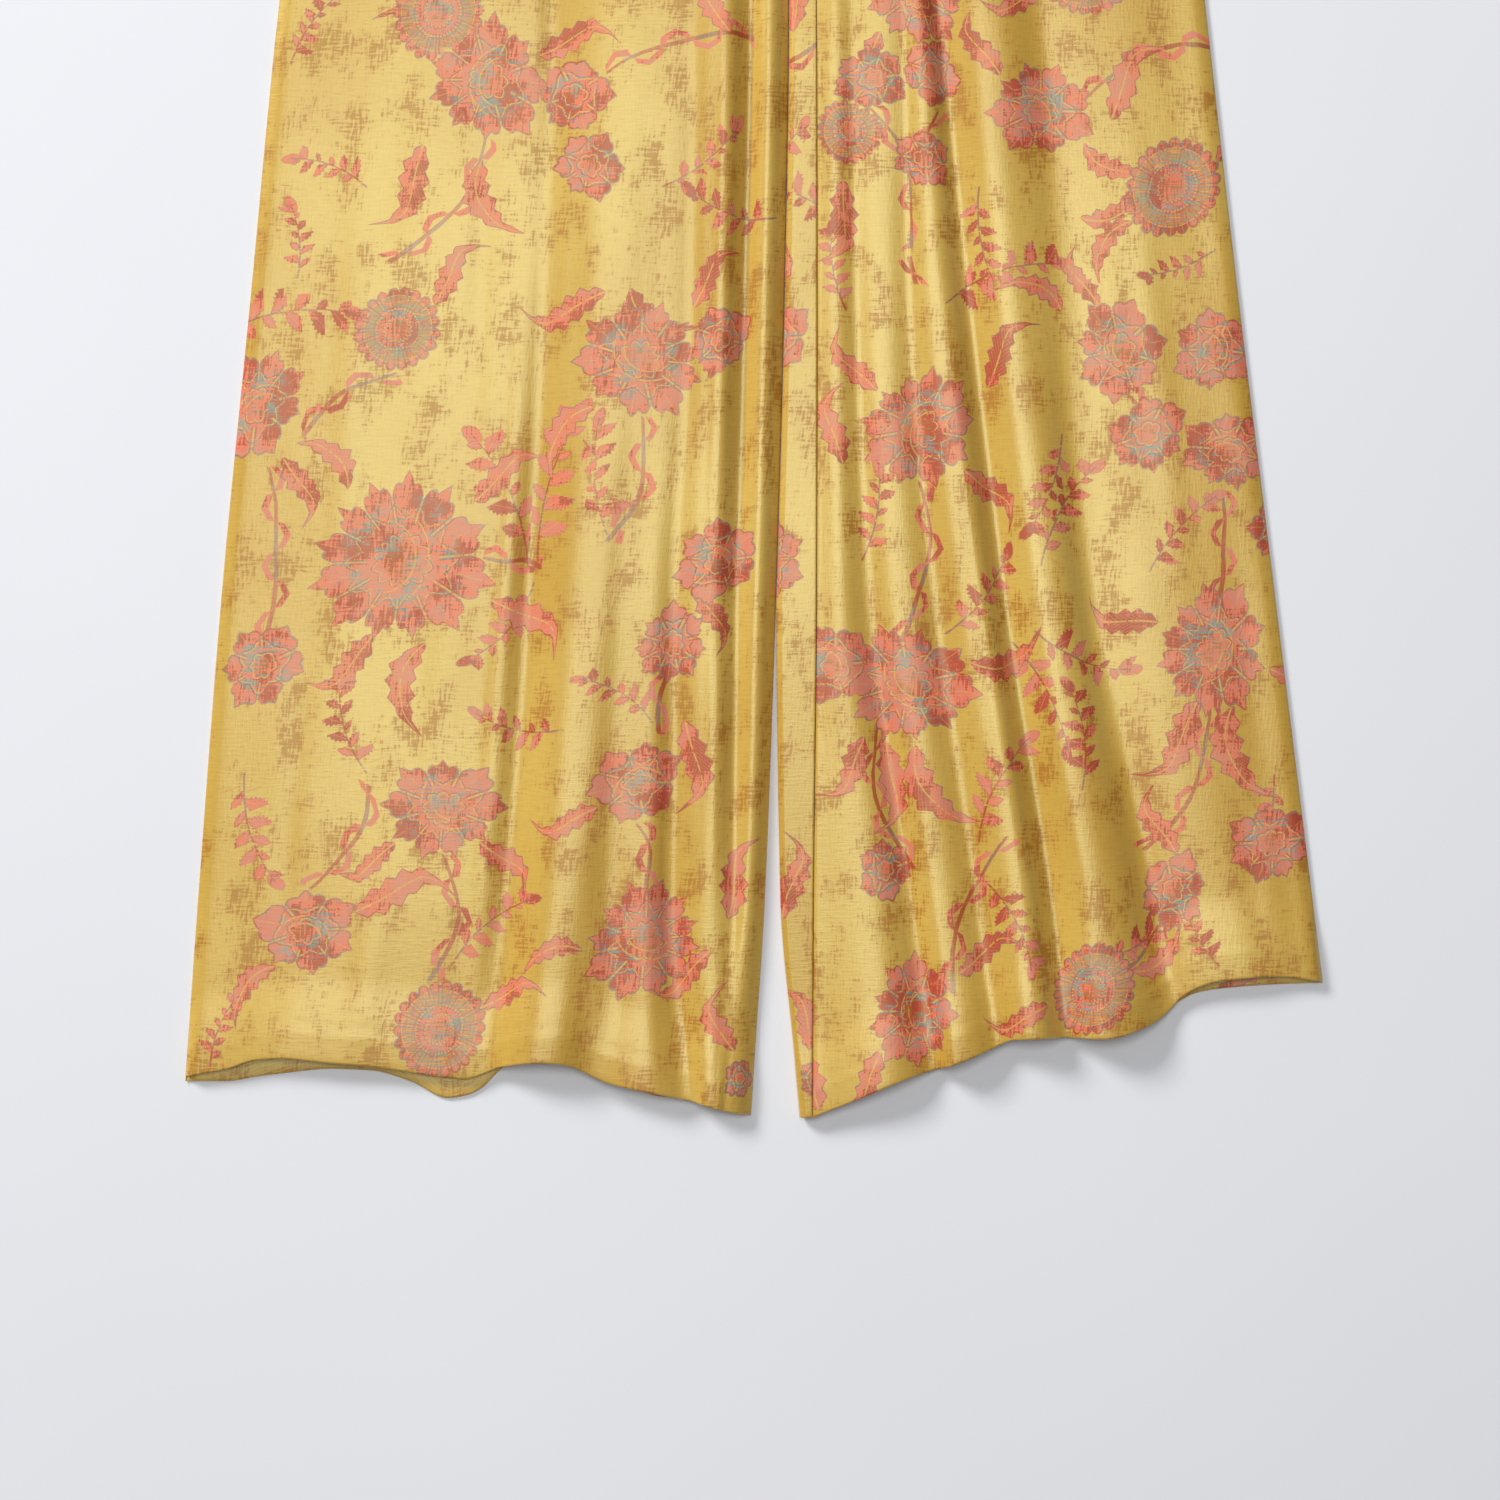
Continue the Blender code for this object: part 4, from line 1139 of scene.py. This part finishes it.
def colour_property(name, description, *screen):
    """A colour to set, with its first value as picked on a screen."""
    return bpy.props.FloatVectorProperty(
        name=name,
        description=description,
        default=linear(*screen),
        subtype="COLOR",
        min=0.0,
        max=1.0,
    )


def number_property(name, description, default, lowest, unit="LENGTH", highest=100000.0):
    """A number to set."""
    return bpy.props.FloatProperty(
        name=name, description=description, default=default, unit=unit, min=lowest, max=highest
    )


class TrousersCloth(bpy.types.PropertyGroup):
    """The cloth's sizes and colours."""

    cell: number_property("Cell", "Size of the cloth's mesh cells", 0.0046, 0.003)
    wall: number_property("Wall", "Thickness of the cloth", 0.0006, 0.0003, highest=0.001)
    stitch: number_property("Stitch", "Length of a stitch and its gap", 0.0032, 0.002)
    ground: colour_property("Ground", "Golden satin", 209, 172, 80)
    ground_shade: colour_property("Ground shade", "The ground where it is deeper", 198, 156, 62)
    ochre: colour_property("Ochre", "Woven patches on the ground", 164, 98, 6)
    petal: colour_property("Petals", "Salmon pink of the flowers", 222, 104, 82)
    worn: colour_property("Worn red", "Brick red streaks in the flowers", 166, 28, 26)
    lilac: colour_property("Lilac", "Faded parts of the flowers", 182, 138, 128)
    turquoise: colour_property("Turquoise", "Specks round the flowers' hearts", 74, 154, 152)
    outline: colour_property("Outlines", "Outlines and stems", 142, 92, 88)


class TrousersStage(bpy.types.PropertyGroup):
    """The surface, the lights and the camera."""

    floor: colour_property("Floor", "Pale surface", 231, 232, 236)
    lamp: number_property("Side lamp", "Power of the soft lamp beside the waist", 470.0, 0.0, "POWER")
    overhead: number_property("Overhead lamp", "Power of the sheen's lamp", 50.0, 0.0, "POWER")
    sky: number_property("Sky", "Strength of the even light", 0.2, 0.0, "NONE")
    shown: number_property("Shown", "Width that the camera takes in", 0.975, 0.1)


class TrousersPiece:
    """What the operators have in common."""

    bl_options = {"REGISTER", "UNDO"}

    def sizes(self, context):
        look = context.scene.trousers_cloth
        return look, look.cell / MM, look.wall / MM


class TROUSERS_OT_fronts(TrousersPiece, bpy.types.Operator):
    """Adds the front of each leg, with its folds and creases"""

    bl_idname = "trousers.fronts"
    bl_label = "Fronts"

    def execute(self, context):
        look, cell, wall = self.sizes(context)
        for side, lines, hem, creases, layout in LEGS:
            points = front_surface(lines, hem, creases, cell)
            cut = Cut(points, repeated(layout))
            made = sheet(f"front_{side}_cloth", points, cut, wall)
            finish_sheet(made, cut, f"front_{side}", look)
        return {"FINISHED"}


class TROUSERS_OT_backs(TrousersPiece, bpy.types.Operator):
    """Adds the back of each leg. The left one rolls over to the front at its inner edge"""

    bl_idname = "trousers.backs"
    bl_label = "Backs"

    def execute(self, context):
        look, cell, wall = self.sizes(context)
        points = right_back_surface(cell)
        cut = Cut(points, repeated(mirrored(LEFT_PRINT)))
        made = sheet("back_right_cloth", points, cut, wall)
        finish_sheet(made, cut, "back_right", look)
        *points, crotch_row = left_back_surface(cell)
        flat = sum(c <= 1 for c in left_back_columns(cell)) - 1
        cut = Cut(points, repeated(mirrored(RIGHT_PRINT)), unrolled=True)

        def left_out(i, j):
            """The edge rolls over below the crotch only."""
            return i > flat and j > crotch_row

        made = sheet("back_left_cloth", points, cut, wall, left_out)
        finish_sheet(made, cut, "back_left", look)
        return {"FINISHED"}


class TROUSERS_OT_turned_hems(TrousersPiece, bpy.types.Operator):
    """Adds the four turned-up hems, inside the legs"""

    bl_idname = "trousers.turned_hems"
    bl_label = "Turned-up hems"

    def execute(self, context):
        look, cell, wall = self.sizes(context)
        pieces = []
        for side, lines, hem, _, layout in LEGS:
            points = front_turn_up(lines, hem, cell)
            pieces.append((f"hem_front_{side}", points, layout, f"front_{side}"))
        pieces.append(("hem_back_right", right_back_turn_up(cell), mirrored(LEFT_PRINT), "back_right"))
        pieces.append(("hem_back_left", left_back_turn_up(cell), mirrored(RIGHT_PRINT), "back_left"))
        for node, points, layout, panel in pieces:
            turned = 2 * points[1][:, :1] - points[1]
            cut = Cut(points, layout, t=turned, unrolled=node == "hem_back_left")
            made = sheet(f"{node}_cloth", points, cut, wall)
            finish_sheet(made, cut, node, look)
        return {"FINISHED"}


class TROUSERS_OT_waistbands(TrousersPiece, bpy.types.Operator):
    """Adds the plain front waistband and the ribbed, elasticated back one"""

    bl_idname = "trousers.waistbands"
    bl_label = "Waistbands"

    def execute(self, context):
        look, cell, wall = self.sizes(context)
        layout = repeated({k: (*RIGHT_PRINT[k], *LEFT_PRINT[k]) for k in LAYERS})
        front = front_band_surface(cell)
        path = np.tile(path_length(front[1][0], front[2][0]), (len(front[0]), 1))
        cut = Cut(front, layout, t=BAND_DEPTH + FRONT_DIP - path)
        sewn = stitches("waist_stitches", row_of_stitches(front, STITCHED_ROW, look.stitch / MM), look)
        made = sheet("waistband_front_cloth", front, cut, wall)
        finish_sheet(made, cut, "waistband_front", look)
        back = [a[::-1, ::-1] for a in back_band_surface()]
        cut = Cut(back, layout, t=np.tile(path_length(back[1][0], back[2][0]), (len(back[0]), 1)))
        made = sheet("waistband_back_cloth", back, cut, wall)
        finish_sheet(made, cut, "waistband_back", look)
        return {"FINISHED"}


class TROUSERS_OT_stage(bpy.types.Operator):
    """Adds the pale surface, the soft lights and the camera, straight above the legs"""

    bl_idname = "trousers.stage"
    bl_label = "Stage"
    bl_options = {"REGISTER", "UNDO"}

    def hang(self, name, power, place, size):
        """Adds a soft lamp that points at the legs."""
        lamp = bpy.data.lights.new(name, "AREA")
        lamp.shape = "RECTANGLE"
        lamp.size, lamp.size_y = size
        lamp.energy = power
        hung = placed(name, lamp)
        hung.location = place
        hung.rotation_euler = (LAMPS_AIM - hung.location).to_track_quat("-Z", "Y").to_euler()

    def execute(self, context):
        stage = context.scene.trousers_stage
        bm = bmesh.new()
        bmesh.ops.create_grid(bm, x_segments=8, y_segments=8, size=FLOOR_HALF)
        floor = placed("surface", mesh_of("surface", bm))
        floor.data.materials.append(floor_material(stage.floor))
        self.hang("side_lamp", stage.lamp, *SIDE_LAMP)
        self.hang("overhead_lamp", stage.overhead, *OVERHEAD_LAMP)
        world = bpy.data.worlds.new("even_light")
        world.use_nodes = True
        light = world.node_tree.nodes["Background"]
        light.inputs["Color"].default_value = (0.97, 0.98, 1.0, 1.0)
        light.inputs["Strength"].default_value = stage.sky
        context.scene.world = world
        context.scene.view_settings.view_transform = "Standard"
        lens = bpy.data.cameras.new("camera")
        lens.sensor_width = SENSOR_WIDTH
        lens.lens = SENSOR_WIDTH * CAMERA_PLACE[2] / stage.shown
        camera = placed("camera", lens)
        camera.location = CAMERA_PLACE
        context.scene.camera = camera
        return {"FINISHED"}


class TROUSERS_PT_panel(bpy.types.Panel):
    """Lists the trousers' pieces"""

    bl_label = "Trousers"
    bl_idname = "TROUSERS_PT_panel"
    bl_space_type = "VIEW_3D"
    bl_region_type = "UI"
    bl_category = "Trousers"

    def draw(self, context):
        for settings in (context.scene.trousers_cloth, context.scene.trousers_stage):
            for name in settings.__annotations__:
                self.layout.prop(settings, name)
        for operator in OPERATORS:
            self.layout.operator(operator.bl_idname)


OPERATORS = (
    TROUSERS_OT_backs,
    TROUSERS_OT_turned_hems,
    TROUSERS_OT_fronts,
    TROUSERS_OT_waistbands,
    TROUSERS_OT_stage,
)
CLASSES = (TrousersCloth, TrousersStage, *OPERATORS, TROUSERS_PT_panel)


def register():
    for cls in CLASSES:
        bpy.utils.register_class(cls)
    bpy.types.Scene.trousers_cloth = bpy.props.PointerProperty(type=TrousersCloth)
    bpy.types.Scene.trousers_stage = bpy.props.PointerProperty(type=TrousersStage)


def unregister():
    del bpy.types.Scene.trousers_stage
    del bpy.types.Scene.trousers_cloth
    for cls in reversed(CLASSES):
        bpy.utils.unregister_class(cls)


def main():
    """Makes every piece and the stage."""
    register()
    bpy.ops.trousers.backs()
    bpy.ops.trousers.turned_hems()
    bpy.ops.trousers.fronts()
    bpy.ops.trousers.waistbands()
    bpy.ops.trousers.stage()


if __name__ == "__main__":
    main()
